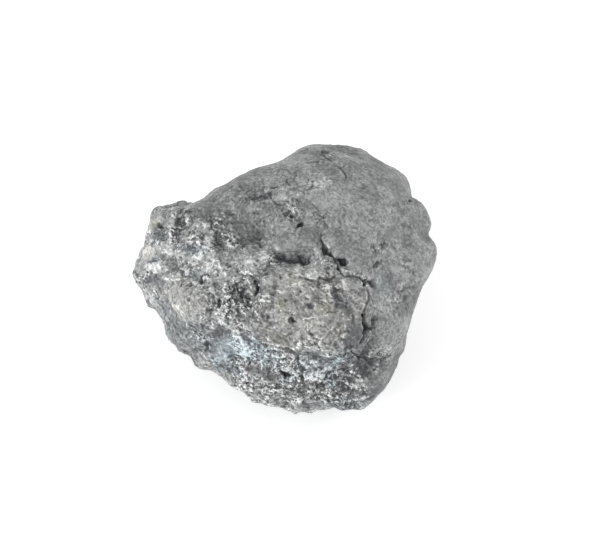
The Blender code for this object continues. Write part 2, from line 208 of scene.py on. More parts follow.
# Where the skin is broken through.
RAW = (
    (-2.5, 5.6, 4.0, 2.6, -15, 0.35),
    (-2.5, 7.5, 1.4, 0.4, 5, 0.5),
    (-1.3, 6.9, 0.5, 0.5, 0, 0.6),
    (0.8, 6.3, 1.1, 0.7, -35, 0.8),
    (3.2, 5.7, 0.7, 0.9, -40, 0.6),
    (-2.8, 5.9, 0.7, 0.3, 0, 0.6),
    (-5.4, 5.6, 0.9, 0.6, 0, 0.6),
    (3.8, 11.4, 0.7, 0.4, -30, 0.6),
    (4.2, 8.2, 0.9, 1.3, 0, 0.5),
    (1.4, 9.0, 1.3, 0.8, 0, 0.4),
    (-1.0, 8.6, 0.9, 0.4, 0, 0.4),
    (8.6, -7.4, 1.3, 1.0, 0, 0.9),
    (-3.4, 3.3, 1.4, 0.7, 0, 0.6),
    (-1.4, 4.6, 1.2, 0.6, -30, 0.3),
    (8.8, 2.8, 0.9, 0.5, 0, 0.7),
    (8.3, -3.2, 0.9, 0.7, 0, 0.7),
    (11.3, -1.9, 0.7, 1.2, 30, 0.6),
    (9.2, -5.9, 1.2, 0.9, 0, 0.5),
    (11.3, 1.4, 0.5, 0.8, 0, 0.5),
    (9.6, -2.2, 1.0, 0.9, 0, 0.4),
)

# Where the crystals are coarse and glint most: their faces lean the most, and the painted glints in their
# colour are strongest.
COARSE = (
    (-1.0, -8.4, 5.2, 2.6, -25, 1.0),  # front face
    (5.5, -9.2, 1.6, 2.0, 10, 0.9),  # foot of the front face
    (7.9, -7.8, 1.5, 1.0, -10, 0.8),
    (-3.9, -1.9, 1.9, 1.9, -40, 0.9),  # hollow between the cheek and the boss
    (5.1, -1.9, 1.3, 0.9, -40, 0.8),  # hollow in the boss
    (-8.2, 3.6, 3.2, 2.6, 0, 0.38),  # knob
    (-12.2, 0.1, 1.2, 0.7, 0, 0.6),
    (-7.8, -5.3, 2.0, 1.0, -15, 0.35),  # shelf
    (-5.6, -6.5, 0.9, 1.0, -20, -0.6),
    (-0.9, -5.4, 2.3, 0.6, -27, -0.5),  # ledge
    (-1.3, 1.2, 0.9, 0.6, 35, 0.7),
)

# Bumps (above 0) and dents (below 0) that bring the outline to its place. The strength is their height.
SWELLS = (
    (4.4, 12.3, 2.0, 1.2, 0, 0.12),  # top of the dome
    (9.6, 10.0, 2.0, 2.0, 0, 0.2),  # its right shoulder
    (11.3, 9.2, 0.9, 0.9, 0, 0.12),
    (-12.4, 4.6, 1.0, 1.6, 0, 0.1),  # knob
    (-9.2, 7.2, 1.3, 0.8, 0, -0.3),  # behind the knob
    (-9.2, 7.1, 0.5, 0.5, 0, -0.1),
    (-5.3, 9.1, 1.1, 0.7, 40, -0.3),
    (-0.2, 11.1, 1.1, 0.7, 30, -0.35),
    (-7.0, -8.2, 1.6, 1.0, -35, -0.3),  # below the shelf
    (0.4, -12.1, 0.8, 0.6, 0, -0.2),
    (2.0, -12.3, 0.8, 0.6, 0, 0.25),
    (7.3, -10.9, 1.9, 1.4, 40, -0.35),  # right of the foot
    (13.3, 4.0, 0.6, 0.35, 20, -0.3),  # notches between the lobes of the right rim
    (12.0, 7.7, 0.5, 0.3, 40, -0.2),
    (10.7, -7.4, 0.4, 0.3, 0, -0.15),
    (13.3, 5.9, 0.6, 0.6, 0, -0.2),
    (9.5, 10.5, 0.7, 0.5, -45, -0.12),
    (-6.6, 8.1, 1.0, 0.6, 40, 0.25),
    (-13.8, 0.0, 0.5, 0.5, 0, -0.18),
    (-9.3, -6.75, 0.6, 0.5, -40, 0.2),
    (-6.9, -8.4, 1.0, 0.5, -30, -0.22),
    (-5.4, -9.3, 0.6, 0.4, -35, 0.2),
    (0.0, -11.9, 0.6, 0.4, 0, -0.15),
    (1.4, -12.1, 0.5, 0.4, 0, 0.2),
    (2.6, -12.3, 0.5, 0.4, 0, -0.2),
    (4.0, -12.0, 0.8, 0.5, 0, 0.3),
    (6.8, -11.9, 0.7, 0.4, 0, -0.2),
    (8.0, -11.0, 0.8, 0.4, 40, -0.2),
)

# What is built up again in the hollows that are worn away. The strength is the height.
FILLS = (
    (0.6, 1.7, 1.3, 0.5, -4, 0.35),  # recess under the dome
    (0.6, 1.7, 1.2, 0.4, -4, 0.3),
    (-0.4, 2.0, 0.9, 0.25, 0, 0.25),
    (7.6, -4.5, 0.6, 1.4, 0, 0.5),  # open crack at the foot of the boss
    (8.2, -4.0, 0.4, 0.9, 0, 0.35),
    (4.9, 1.8, 0.8, 0.4, -48, 0.2),
    (8.2, -0.45, 0.4, 0.4, 0, 0.35),
)

# Where the solid's pits and cracks are worn shallow before the finer ones are cut.
WORN = (
    (0.6, 1.75, 2.3, 1.1, -4, 1.0),  # recess under the dome
    (7.5, -4.9, 1.2, 2.2, 0, 1.0),  # open crack at the foot of the boss
    (4.6, 2.0, 1.6, 0.9, -48, 1.0),  # crack under the dome
    (7.7, -0.5, 0.9, 0.9, 0, 1.0),
    (0.8, -4.0, 0.8, 0.8, 0, 1.0),
    (-11.4, 4.7, 1.1, 1.1, 0, 1.0),
    (-7.6, 0.1, 0.9, 0.9, 0, 1.0),
    (-8.7, -0.6, 0.7, 0.7, 0, 1.0),
    (-6.1, -2.4, 0.9, 0.9, 0, 1.0),
    (-6.8, -6.1, 1.0, 1.0, 0, 1.0),
    (-5.7, 3.8, 1.1, 1.1, 0, 1.0),
    (0.2, -9.0, 0.9, 0.9, 0, 0.8),
    (-2.3, -8.0, 0.8, 0.8, 0, 0.8),
    (5.3, -2.0, 1.7, 1.0, -52, 0.6),
)

# Steep-walled pits. The strength is the depth.
PITS = (
    (0.75, 1.68, 1.25, 0.27, -6, 0.3),  # recess under the dome
    (4.05, 2.4, 0.46, 0.18, -40, 0.25),
    (5.25, 1.72, 0.4, 0.14, -10, 0.2),
    (5.45, 1.48, 0.2, 0.22, 0, 0.18),
    (5.05, 0.98, 0.13, 0.15, 0, 0.4),
    (7.52, -0.3, 0.22, 0.15, 50, 0.6),
    (7.4, -0.55, 0.13, 0.16, 0, 0.45),
    (0.62, -3.95, 0.22, 0.26, 0, 0.3),
    (0.9, -4.0, 0.14, 0.12, 0, 0.25),
    (1.42, 4.88, 0.22, 0.14, 0, 0.25),
    (1.62, 5.0, 0.16, 0.2, 0, 0.25),
    (0.7, 6.02, 0.26, 0.13, -35, 0.3),
    (3.7, 5.58, 0.12, 0.12, 0, 0.2),
    (8.62, 1.24, 0.34, 0.22, 25, 0.26),
    (11.65, 7.2, 0.12, 0.18, 0, 0.25),
    (-11.4, 4.78, 0.16, 0.24, 40, 0.3),
    (-7.6, -0.05, 0.15, 0.28, 10, 0.35),
    (-8.65, -0.58, 0.2, 0.13, 20, 0.35),
    (-6.77, -2.92, 0.22, 0.18, 0, 0.22),
    (-5.95, -2.3, 0.16, 0.38, 10, 0.25),
    (-7.05, -6.25, 0.18, 0.22, 0, 0.3),
    (-5.95, -6.3, 0.14, 0.12, 0, 0.2),
    (0.2, -8.95, 0.38, 0.17, -35, 0.6),
    (7.75, -4.45, 0.24, 0.22, 0, 0.5),
    (-3.25, -7.4, 0.14, 0.16, 0, 0.3),
    (-3.1, -7.9, 0.16, 0.2, 0, 0.3),
    (-2.12, 3.0, 0.16, 0.12, 0, 0.2),
    (-3.7, 3.02, 0.2, 0.12, 0, 0.2),
    (2.52, -5.08, 0.24, 0.12, -20, 0.22),
    (2.4, -2.45, 0.26, 0.22, 0, 0.16),
    (-4.6, -1.15, 0.14, 0.26, 0, 0.3),
    (-4.25, -1.1, 0.12, 0.22, 0, 0.3),
    (-2.58, -1.2, 0.12, 0.32, 0, 0.3),
    (-2.6, -0.6, 0.12, 0.26, 0, 0.25),
    (8.1, -7.8, 0.36, 0.24, 0, 0.25),
)

# Open cracks: the points (across, up) that each runs through, half width, depth.
CUTS = (
    (((-0.8, 1.98), (0.3, 2.02), (1.3, 1.93), (2.3, 1.7)), 0.11, 0.08),  # lip over the recess
    (((3.45, 4.1), (3.6, 3.4), (3.8, 2.7), (4.6, 1.95), (5.0, 1.2), (5.3, 0.45)), 0.08, 0.18),
    (((5.3, 0.45), (5.7, 0.2), (6.4, 0.2), (6.9, 0.0), (7.3, -0.35)), 0.09, 0.25),
    (((1.5, 0.1), (2.1, -0.05), (2.6, -0.2), (3.2, -0.3), (3.3, 0.0), (4.1, -0.1), (4.7, 0.05)), 0.08, 0.2),
    (((7.7, -0.8), (7.85, -1.8), (7.5, -2.6), (7.3, -3.4)), 0.1, 0.16),  # rim of the boss
    (((7.45, -3.4), (7.5, -4.1), (7.75, -4.5), (7.6, -5.0)), 0.16, 0.8),  # open crack
    (((7.6, -5.0), (7.5, -5.5), (7.2, -6.0)), 0.1, 0.4),
    (((7.75, -4.5), (8.05, -4.6)), 0.11, 0.6),
    (((-3.0, 0.15), (-2.4, -0.3), (-2.55, -1.0)), 0.09, 0.2),
    (((6.3, -6.8), (6.8, -7.2), (7.5, -7.4)), 0.09, 0.25),
    (((5.0, -7.15), (5.6, -7.3), (6.0, -7.0)), 0.08, 0.2),
    (((-3.6, -5.5), (-2.5, -6.1), (-1.2, -6.3), (0.2, -6.6), (1.2, -7.0)), 0.11, 0.2),  # foot of the ledge
    (((1.4, -7.1), (1.5, -8.2), (1.7, -9.3)), 0.11, 0.2),
    (((2.3, -7.7), (2.0, -8.9)), 0.09, 0.15),
    (((4.8, -8.3), (4.1, -9.0), (3.2, -10.0)), 0.12, 0.22),
    (((3.5, 11.6), (4.1, 11.6)), 0.1, 0.12),  # cracks in the dome
    (((3.7, 11.3), (4.2, 10.95), (4.45, 10.75)), 0.08, 0.13),
    (((5.2, 10.1), (5.5, 9.75), (5.75, 9.3)), 0.08, 0.13),
    (((-11.6, -0.6), (-11.1, -1.6), (-10.4, -2.8), (-9.4, -3.9), (-7.4, -4.4)), 0.2, 0.07),  # cheek's edge
)

# Thin seams, pale ridges (above 0) and dark grooves (below 0): the points that each runs through, half width,
# strength.
SEAMS = (
    (((3.4, 4.1), (3.75, 3.3), (4.2, 2.8)), 0.08, 1.0),
    (((-5.05, 4.2), (-5.05, 3.0), (-4.6, 2.85)), 0.08, 1.2),
    (((-4.6, 3.6), (-4.3, 2.9)), 0.08, 1.0),
    (((-8.8, 3.8), (-8.1, 3.85)), 0.09, 1.6),
    (((-8.9, 3.55), (-8.0, 3.5)), 0.1, -0.8),
    (((-7.35, 4.0), (-7.4, 3.2)), 0.08, -1.0),
    (((1.8, -3.7), (2.8, -3.65)), 0.07, 1.2),
    (((2.15, -4.2), (2.1, -4.9)), 0.07, 0.9),
    (((3.9, -3.2), (4.9, -3.1)), 0.08, -0.8),
    (((3.7, -0.95), (4.2, -0.98)), 0.09, 1.4),
    (((-0.6, -1.15), (-0.2, -1.3)), 0.09, 1.2),
    (((-1.9, -2.0), (-1.2, -2.2)), 0.09, 1.2),
    (((1.5, -2.1), (1.8, -2.2)), 0.08, 1.0),
    (((0.3, 6.8), (0.9, 6.4), (1.2, 5.9)), 0.08, 1.2),
    (((0.1, 6.6), (0.7, 6.3)), 0.07, 1.0),
    (((-1.2, 7.5), (-0.9, 7.0), (-0.4, 6.8), (0.1, 6.9)), 0.08, -0.8),
    (((-0.1, 6.5), (-0.2, 6.2)), 0.12, -0.8),
    (((2.6, 6.8), (3.2, 6.4)), 0.08, -0.9),
    (((3.1, 6.0), (3.4, 5.7)), 0.08, -0.9),
    (((3.7, 5.2), (4.1, 4.7)), 0.07, -0.6),
    (((1.5, 6.5), (1.9, 6.2)), 0.12, -0.6),
    (((2.2, 10.6), (3.2, 10.7)), 0.07, -1.12),
    (((-1.2, 8.3), (-0.6, 8.5)), 0.09, -1.12),
    (((-0.7, 9.5), (-0.3, 10.0), (0.3, 10.0), (0.7, 9.5)), 0.08, -0.64),
    (((1.1, 9.6), (0.9, 9.0), (1.4, 8.4), (2.1, 8.6), (2.3, 9.2), (1.8, 9.6)), 0.08, -0.56),
    (((0.3, 9.0), (0.45, 8.6)), 0.1, -0.96),
    (((2.2, 8.1), (2.7, 8.5), (2.7, 8.9)), 0.08, -0.96),
    (((-6.0, 5.3), (-5.4, 5.25)), 0.08, -0.8),
    (((-5.3, 5.85), (-4.6, 5.85)), 0.07, -1.0),
    (((-3.2, 6.0), (-2.4, 6.0)), 0.11, -0.7),
    (((7.0, -0.3), (7.45, -0.85), (7.7, -1.5), (7.6, -2.2), (7.25, -2.9)), 0.12, 0.7),  # lip of the boss
    (((6.4, -3.3), (6.35, -4.0)), 0.09, -0.9),
    (((6.0, 1.75), (6.15, 1.4), (5.9, 1.1)), 0.08, 0.9),
    (((5.4, 0.7), (6.2, 0.55)), 0.09, 0.8),
    (((7.1, 3.75), (7.4, 3.65)), 0.08, -0.8),
    (((11.5, 3.0), (11.9, 3.4)), 0.09, -0.6),
    (((10.1, -1.0), (10.8, -1.2), (11.5, -0.9), (12.1, -0.8)), 0.14, -0.8),  # crease under the right lobe
    (((11.4, -1.1), (12.0, -1.5)), 0.08, 0.8),
    (((10.6, -1.3), (11.2, -2.0), (11.5, -2.6)), 0.16, -0.5),
    (((8.1, -5.4), (8.6, -4.9), (9.2, -5.2), (9.2, -5.8), (8.6, -6.0)), 0.09, 0.35),
    (((-2.4, -4.5), (-0.8, -5.0), (0.3, -5.6), (1.0, -6.4)), 0.08, 0.7),  # upper edge of the ledge
    (((-2.9, -4.1), (-1.0, -4.6), (0.2, -5.2)), 0.07, 0.5),
    (((-3.4, -5.2), (-2.3, -5.8), (-1.1, -6.05), (0.3, -6.35), (1.1, -6.7)), 0.08, 0.9),  # its lower edge
    (((-2.9, -6.5), (-2.5, -6.4), (-2.2, -6.7), (-2.4, -7.0), (-2.8, -6.95)), 0.09, -0.9),
    (((2.0, -7.0), (3.2, -7.35), (4.2, -7.9)), 0.1, -0.8),
    (((6.2, -8.7), (6.9, -8.35)), 0.09, 1.5),
    (((6.1, -8.1), (6.3, -7.9)), 0.09, 1.5),
    (((6.35, -6.95), (6.7, -7.3)), 0.08, 1.1),
    (((7.9, -6.85), (8.4, -6.8)), 0.08, 1.1),
    (((6.5, -11.15), (7.4, -11.05), (8.2, -10.6)), 0.1, 0.8),  # lower right rim
    (((6.4, -11.45), (7.5, -11.3), (8.4, -10.85)), 0.11, -0.8),
    (((-6.9, 0.3), (-7.3, 0.35), (-7.7, 0.2)), 0.09, -1.0),
    (((-7.3, 0.05), (-6.9, 0.1)), 0.12, 1.2),
    (((-6.6, -0.1), (-7.0, -0.4), (-7.5, -0.45)), 0.08, -0.7),
    (((-10.9, -0.05), (-9.6, -0.15)), 0.08, 0.9),
    (((-7.0, 2.2), (-6.2, 1.4), (-5.5, 0.8), (-5.3, 0.2)), 0.14, 0.7),
    (((-6.9, 1.8), (-6.4, 1.0), (-5.9, 0.6)), 0.09, -0.5),
    (((-6.2, -2.9), (-6.4, -3.5), (-7.1, -3.6), (-7.4, -3.1), (-7.2, -2.5)), 0.1, 0.5),
    (((-6.0, -3.7), (-5.2, -4.4), (-4.6, -4.8)), 0.12, 1.0),  # step above the front face
    (((-8.3, 0.2), (-8.7, 0.9), (-9.0, 1.6)), 0.09, -0.5),
    (((-5.2, -1.4), (-5.5, -1.8)), 0.08, 0.9),
)
SEAM_RISE = 0.07  # of a seam of strength 1

# Hollows full of short standing blades: middle (across, up), half width, half height, number of blades.
BLADES = (
    (-4.1, -1.4, 1.7, 1.2, 22),  # between the cheek and the boss
    (-3.2, -3.6, 1.2, 1.0, 12),
    (4.6, -1.4, 1.2, 1.0, 12),  # in the boss
    (-2.4, -6.6, 2.0, 1.2, 20),  # front face
    (1.0, -8.6, 2.2, 1.4, 16),
    (-6.0, 3.6, 1.5, 1.2, 12),  # knob
    (5.6, -9.2, 1.4, 1.2, 10),
)
BLADE_TURN = (-70, -15)  # least and most, in degrees
BLADE_LENGTH = (0.35, 1.0)
BLADE_BEND = 0.25  # at most, as a share of the length
BLADE_HALF_WIDTH = 0.09
BLADE_RISE = 0.07
SEED = 1

# Light (above 0) and dark (below 0) patches: partly the lump's own stains, and partly painted light and
# shade, such as the painted shade in the valley, the recess under the dome, the slope by the open crack and
# the lower right.
STAINS_AND_SHADE = (
    (-9.6, 4.8, 2.6, 1.8, 0, 0.15),  # knob
    (-12.0, 5.1, 0.5, 0.55, 0, 0.8),
    (-12.5, 3.6, 0.4, 0.9, 0, 0.25),
    (-11.5, 3.95, 0.55, 0.45, 0, -1.0),
    (-10.65, 6.1, 0.35, 0.3, 0, -0.6),
    (-9.5, 5.6, 0.32, 1.0, 5, -1.0),
    (-8.95, 5.4, 0.2, 0.45, 0, 1.3),
    (-10.2, 4.9, 0.5, 0.5, 0, 0.3),
    (-8.0, 6.1, 0.5, 0.3, 0, -0.5),
    (-7.0, 5.6, 0.35, 0.6, 0, -0.7),
    (-7.7, 4.8, 0.6, 0.4, 0, 0.9),
    (-7.3, 4.95, 0.2, 0.2, 0, 0.8),
    (-6.9, 4.2, 0.4, 0.9, 20, 0.8),
    (-8.3, 2.6, 1.2, 0.36, 0, -1.1),
    (-8.7, 3.5, 1.1, 0.8, -20, -0.8),
    (-6.8, 3.8, 0.4, 0.9, 0, 0.25),
    (-6.1, 3.4, 0.35, 0.8, 0, -1.1),
    (-6.2, 2.6, 0.3, 0.3, 0, -0.7),
    (-9.9, 3.9, 0.3, 0.8, 0, -0.5),
    (-7.0, 3.3, 0.25, 0.6, 0, 0.6),
    # The valley's dark patch is partly painted shade.
    (-3.6, 4.3, 2.5, 1.7, -10, -0.55),  # valley
    (-2.9, 3.3, 1.2, 0.5, -10, -0.3),
    (-2.1, 4.6, 0.5, 0.8, 0, -0.2),
    (-4.4, 4.6, 0.5, 0.8, 0, -0.4),
    (-5.7, 5.9, 1.2, 0.8, -30, -0.4),
    (-2.5, 1.9, 1.2, 0.9, -35, 1.3),  # slope below it
    (-1.7, 3.2, 0.4, 1.0, 0, 0.6),
    (-4.4, 2.4, 0.5, 0.8, 10, -0.5),
    (-9.3, 1.6, 3.6, 1.8, 0, 0.9),  # left flank
    (-11.0, 2.7, 0.7, 0.5, 0, 0.7),
    (-12.5, 2.5, 0.5, 0.5, 0, 0.6),
    (-12.0, 1.7, 0.5, 0.16, 20, -1.3),
    (-11.05, 1.8, 0.14, 0.4, 0, -0.8),
    (-10.3, 1.75, 0.22, 0.4, 20, -0.8),
    (-10.0, 0.85, 0.7, 0.22, -20, -1.1),
    (-11.7, 1.05, 0.8, 0.3, 0, 0.9),
    (-13.0, 0.9, 0.4, 0.2, 0, -0.5),
    (-7.6, 1.4, 1.0, 0.6, -30, 0.6),
    (-8.2, 0.1, 0.35, 0.6, 0, 0.8),
    (-9.4, -0.1, 0.5, 1.0, 0, -0.85),
    (-13.1, 1.2, 0.6, 0.8, 0, 0.6),
    (-6.4, -0.6, 0.6, 0.7, 0, 0.7),
    (-5.6, 0.2, 0.4, 0.3, 0, 0.8),
    (-12.2, -0.15, 0.8, 0.35, 0, -1.0),
    (-11.3, -0.5, 0.3, 0.2, 0, -0.6),
    (-9.2, -1.9, 1.6, 1.4, -35, 0.45),  # left cheek
    (-9.4, -3.1, 0.6, 0.3, -40, 0.4),
    (-10.1, -2.9, 0.3, 0.5, 35, -0.5),
    (-11.2, -2.4, 0.25, 1.1, 35, -0.5),
    (-10.8, -1.9, 0.6, 1.0, 30, 0.6),
    (-10.2, -4.2, 0.6, 0.5, 0, -0.5),
    (-12.4, -1.9, 0.4, 0.4, 0, 0.7),
    (-6.9, -1.6, 0.3, 0.3, 0, -0.4),
    (-4.3, -1.15, 0.75, 0.4, 0, -0.4),  # hollow between the cheek and the boss
    (-2.6, -0.5, 0.35, 0.9, 0, -0.8),
    (-3.7, -2.0, 0.7, 0.4, -30, -0.9),
    (-4.2, -3.2, 0.5, 0.4, -30, -0.8),
    (-2.2, -3.7, 0.8, 1.2, 25, -1.1),
    (-1.4, -2.75, 0.3, 0.14, 0, -0.8),
    (-3.2, -3.0, 0.4, 0.3, -30, 0.4),
    (-4.6, -1.9, 0.4, 0.5, 0, 0.4),
    (-3.6, -1.8, 2.0, 1.6, -35, -0.45),
    (-5.6, -3.9, 0.8, 0.35, -35, 0.6),  # step above the front face
    (-8.0, -4.0, 1.1, 0.35, -15, 0.4),
    (-7.7, -4.8, 1.4, 0.45, -15, -0.8),  # shelf
    (-7.5, -5.5, 0.7, 0.25, -10, 0.4),
    (-9.3, -5.6, 1.1, 0.5, -25, -0.8),
    (-6.1, -3.1, 0.7, 0.5, 0, -0.5),
    (-5.7, -4.85, 0.5, 0.75, 20, -1.3),
    (-6.6, -5.5, 0.6, 0.6, 0, -0.6),
    (-7.0, -6.35, 0.36, 0.34, 0, -2.0),
    (-6.85, -6.45, 0.15, 0.15, 0, 3.6),
    (-6.3, -6.4, 0.22, 0.15, 0, -1.0),
    (-6.6, -6.85, 0.25, 0.15, 0, -1.0),
    (-7.4, -7.2, 0.9, 0.4, -20, 0.9),
    (-5.2, -6.9, 0.8, 1.1, 10, 1.0),
    (-7.8, -7.9, 0.8, 0.3, -20, 0.2),
    (-5.2, -8.3, 0.8, 0.35, -25, -0.7),
    (-9.3, -6.5, 1.2, 0.22, -38, -0.7),
    (-10.7, -4.6, 0.25, 0.5, 0, -0.8),
    # The dark patches of the recess under the dome are painted shade under its lip.
    (0.75, 1.68, 1.35, 0.32, -6, -0.9),  # recess under the dome
    (-0.3, 1.9, 0.4, 0.25, 20, -0.6),
    (2.0, 1.6, 0.35, 0.3, -20, -0.9),
    (0.5, 1.25, 0.6, 0.25, 0, -0.7),
    (1.45, 1.52, 0.2, 0.14, 0, 3.4),
    (0.9, 1.45, 0.14, 0.1, 0, 2.0),
    (-0.8, 1.75, 0.2, 0.25, 0, 0.6),
    (-1.3, 1.2, 0.8, 0.4, 30, -0.7),
    (1.4, 1.0, 0.3, 0.3, 0, 0.7),
    (3.0, -2.6, 4.0, 2.6, -12, 0.45),  # boss
    (2.5, 0.7, 1.3, 0.8, 0, 1.0),
    (0.3, -0.5, 0.8, 1.0, 0, 0.9),
    (4.4, 0.6, 0.4, 0.4, 0, -0.5),
    (4.7, -0.7, 1.1, 0.5, -20, -1.1),
    (4.2, -1.6, 0.3, 0.4, 0, -0.5),
    (-1.2, 0.0, 0.25, 0.3, 0, 0.9),
    (4.8, -1.5, 0.4, 0.5, -30, -1.3),
    (5.4, -2.5, 0.8, 0.5, -40, -1.9),
    (6.3, -1.3, 0.9, 1.1, 0, 0.2),
    (5.9, -3.6, 1.0, 0.4, 0, 0.4),
    (3.0, -4.4, 1.6, 0.8, -10, 0.3),
    (2.4, -2.45, 0.3, 0.25, 0, -0.8),
    (1.6, -1.4, 1.4, 0.6, -10, -0.25),
    (0.2, -4.6, 0.4, 0.8, 0, 0.7),
    (2.3, -5.1, 0.8, 0.5, 0, -0.55),
    (5.3, 1.5, 0.55, 0.4, -20, -0.8),
    # Painted shade on the slope by the open crack.
    (6.7, -4.8, 0.8, 1.2, -15, -1.1),
    (6.0, -6.6, 0.35, 0.9, 10, -0.8),
    (7.35, -3.3, 0.35, 0.7, 0, -0.7),
    (-1.0, -5.4, 1.8, 0.45, -27, -0.4),  # ledge
    (1.3, -6.1, 0.3, 0.25, 0, -0.4),
    (3.25, -6.1, 0.2, 0.2, 0, 1.0),
    (4.5, -6.5, 0.8, 0.6, -30, -0.6),
    (7.9, -4.0, 0.5, 1.7, -10, -0.7),
    (8.3, -0.3, 0.6, 0.6, 0, 1.2),
    (7.2, 0.9, 0.8, 0.6, 0, 0.25),
    (9.5, 0.8, 0.8, 0.9, 0, 0.5),
    (-3.6, -6.3, 0.8, 0.6, -20, 1.4),  # front face
    (-3.6, -7.1, 0.4, 0.3, 0, 1.3),
    (-1.7, -6.75, 0.4, 0.3, 0, 0.9),
    (-1.6, -7.6, 0.9, 0.4, -20, 0.6),
    (-2.6, -6.2, 0.9, 0.14, -25, -0.8),
    (-2.1, -8.7, 1.2, 0.4, -15, -1.3),
    (-1.3, -8.35, 0.3, 0.2, 0, -0.8),
    (-1.3, -9.25, 0.65, 0.35, -25, -0.8),
    (-3.2, -8.3, 0.3, 0.3, 0, -0.8),
    (-3.0, -5.7, 0.9, 0.4, -35, 0.6),
    (-1.9, -6.9, 0.7, 0.4, -30, 0.7),
    (-2.3, -10.2, 0.8, 0.4, -20, 0.25),
    (0.1, -6.95, 0.5, 0.2, -20, -0.6),
    (-0.4, -9.2, 0.22, 0.18, 0, 1.3),
    (0.65, -9.3, 0.2, 0.2, 0, 1.3),
    (0.9, -8.5, 0.4, 0.2, 0, 0.8),
    (2.7, -8.35, 0.4, 0.3, 0, -0.5),
    (2.5, -9.2, 0.5, 0.4, 0, 1.0),
    (3.55, -8.9, 0.35, 0.5, 0, 0.8),
    (2.6, -7.1, 0.5, 0.2, -15, -0.6),
    (4.65, -7.85, 0.38, 0.2, 25, 1.3),
    (4.6, -9.4, 0.25, 0.4, 0, -0.6),
    (4.5, -10.4, 0.3, 0.3, 0, -0.9),
    (5.3, -8.7, 0.5, 0.5, 0, -0.8),
    (5.5, -9.8, 0.6, 0.6, 0, -0.7),
    (1.3, -11.2, 0.3, 0.25, 0, 1.3),
    (1.2, -10.7, 1.0, 0.4, -10, -0.8),
    (2.4, -9.6, 0.5, 0.4, 0, -0.5),
    (0.8, -12.0, 0.9, 0.4, -20, 0.4),
    (2.5, -8.0, 0.4, 0.9, 0, -0.25),
    (6.4, -10.0, 0.5, 1.2, 30, -0.55),
    (4.0, -9.0, 0.4, 1.0, 0, 0.7),
    (-0.9, -10.8, 0.3, 0.3, 0, 0.6),
    (-0.75, -11.3, 0.18, 0.15, 0, -1.0),
    (-2.6, -9.9, 0.9, 0.3, -30, -0.4),
    (0.4, -10.6, 0.5, 0.3, 20, -0.6),
    (2.0, -11.9, 1.3, 0.3, 5, -0.5),
    (5.6, -11.75, 1.2, 0.2, 0, -0.6),
    # The dark lower right is partly painted shade.
    (8.0, -7.6, 2.2, 1.6, 0, -0.85),  # right of the front face
    (8.1, -7.8, 0.5, 0.3, 0, -1.0),
    (8.8, -7.4, 0.4, 0.18, 0, -0.9),
    (7.2, -8.0, 0.7, 0.3, -10, -0.9),
    (7.5, -8.8, 0.5, 0.28, 0, -0.8),
    (7.8, -6.9, 0.9, 0.3, 0, -0.5),
    (7.2, -9.6, 0.65, 0.45, 0, 0.9),
    (8.5, -8.4, 0.4, 0.5, 0, 0.7),
    (9.6, -6.6, 0.5, 0.9, 0, 0.6),
    (8.5, -10.4, 1.2, 0.3, 40, -0.6),
    (9.9, -8.7, 0.3, 0.9, -20, -0.3),
    (9.8, -2.5, 1.2, 1.4, 0, 0.15),  # right flank
    (10.7, 0.5, 0.7, 0.5, 0, 0.4),
    (8.9, -3.9, 0.4, 0.15, 0, -0.7),
    (8.5, -3.3, 0.3, 0.3, 0, 0.5),
    (11.6, -2.3, 0.9, 1.3, -40, -0.85),
    (12.2, 7.2, 0.6, 0.5, -40, -0.5),
    (10.8, -4.3, 0.8, 1.0, 0, 0.4),
    (3.6, 11.5, 0.35, 0.14, 0, -1.2),  # dome
    (4.15, 11.6, 0.15, 0.12, 0, -1.0),
    (5.2, 8.6, 4.5, 3.4, -20, 0.12),
    (3.6, 8.7, 0.6, 0.5, 0, 0.6),
    (4.3, 7.6, 1.0, 1.0, 0, 0.65),
    (5.2, 9.4, 0.3, 0.4, 0, 0.5),
    (1.4, 9.6, 0.8, 0.6, 0, 0.25),
    (-0.2, 7.4, 0.45, 0.35, 0, 0.5),
    (-2.5, 7.4, 1.1, 0.22, 5, -1.2),
    (-1.4, 7.7, 0.25, 0.22, 0, -1.0),
    (-2.8, 6.5, 1.4, 0.45, 0, -0.6),
    (0.7, 7.0, 0.6, 0.6, -40, -0.4),
    (-2.2, 9.8, 0.8, 0.4, 25, -0.45),
    (-2.3, 4.6, 0.8, 0.6, 0, 0.3),
    (-0.2, 3.7, 0.6, 0.7, 0, -0.4),
    (1.2, 4.9, 1.1, 0.6, 0, 0.45),
    (3.0, 4.6, 0.6, 0.7, 0, 0.3),
    (-3.8, 8.3, 1.2, 0.5, 25, 0.25),
    (-5.9, 8.0, 0.8, 0.4, 35, -0.35),
    (0.9, 2.5, 1.6, 0.35, 0, 1.0),
    (4.2, 5.8, 0.8, 1.4, -20, 0.3),
    (6.5, 7.6, 1.5, 1.2, -20, 0.5),
    (5.4, 12.0, 1.5, 0.5, 0, -0.75),
    (8.5, 10.8, 1.1, 0.7, -40, -0.7),
    (10.2, 4.9, 0.8, 1.4, 0, 0.6),
    (11.6, 3.8, 0.6, 0.6, 0, 0.4),
    (13.4, 2.0, 0.6, 1.4, 0, -0.25),
    (2.6, 8.45, 0.18, 0.15, 0, -0.8),
    (7.35, 8.4, 0.2, 0.25, 0, -0.7),
    (8.6, 7.5, 0.3, 0.6, 0, -0.35),
    (8.05, 5.25, 0.3, 0.14, -20, -1.0),
    (8.1, 6.0, 0.18, 0.16, 0, -0.6),
    (10.3, 6.8, 0.25, 0.2, 0, -0.6),
    (10.8, 9.0, 0.5, 0.6, 0, -0.2),
    (12.3, 5.3, 0.5, 1.0, 0, -0.3),
    (9.2, 2.85, 0.35, 0.28, 0, -0.8),
    (8.2, 2.9, 0.28, 0.18, 0, -0.7),
    (11.2, 1.8, 0.3, 0.35, 0, -0.6),
    (11.3, 0.95, 0.2, 0.18, 0, -0.7),
    (8.3, 3.4, 0.16, 0.16, 0, 1.0),
    (9.8, 2.4, 0.6, 0.4, 0, 0.3),
    (9.7, -2.0, 0.16, 0.14, 0, 1.1),
    (12.6, 2.4, 0.4, 0.15, 20, -0.4),
)
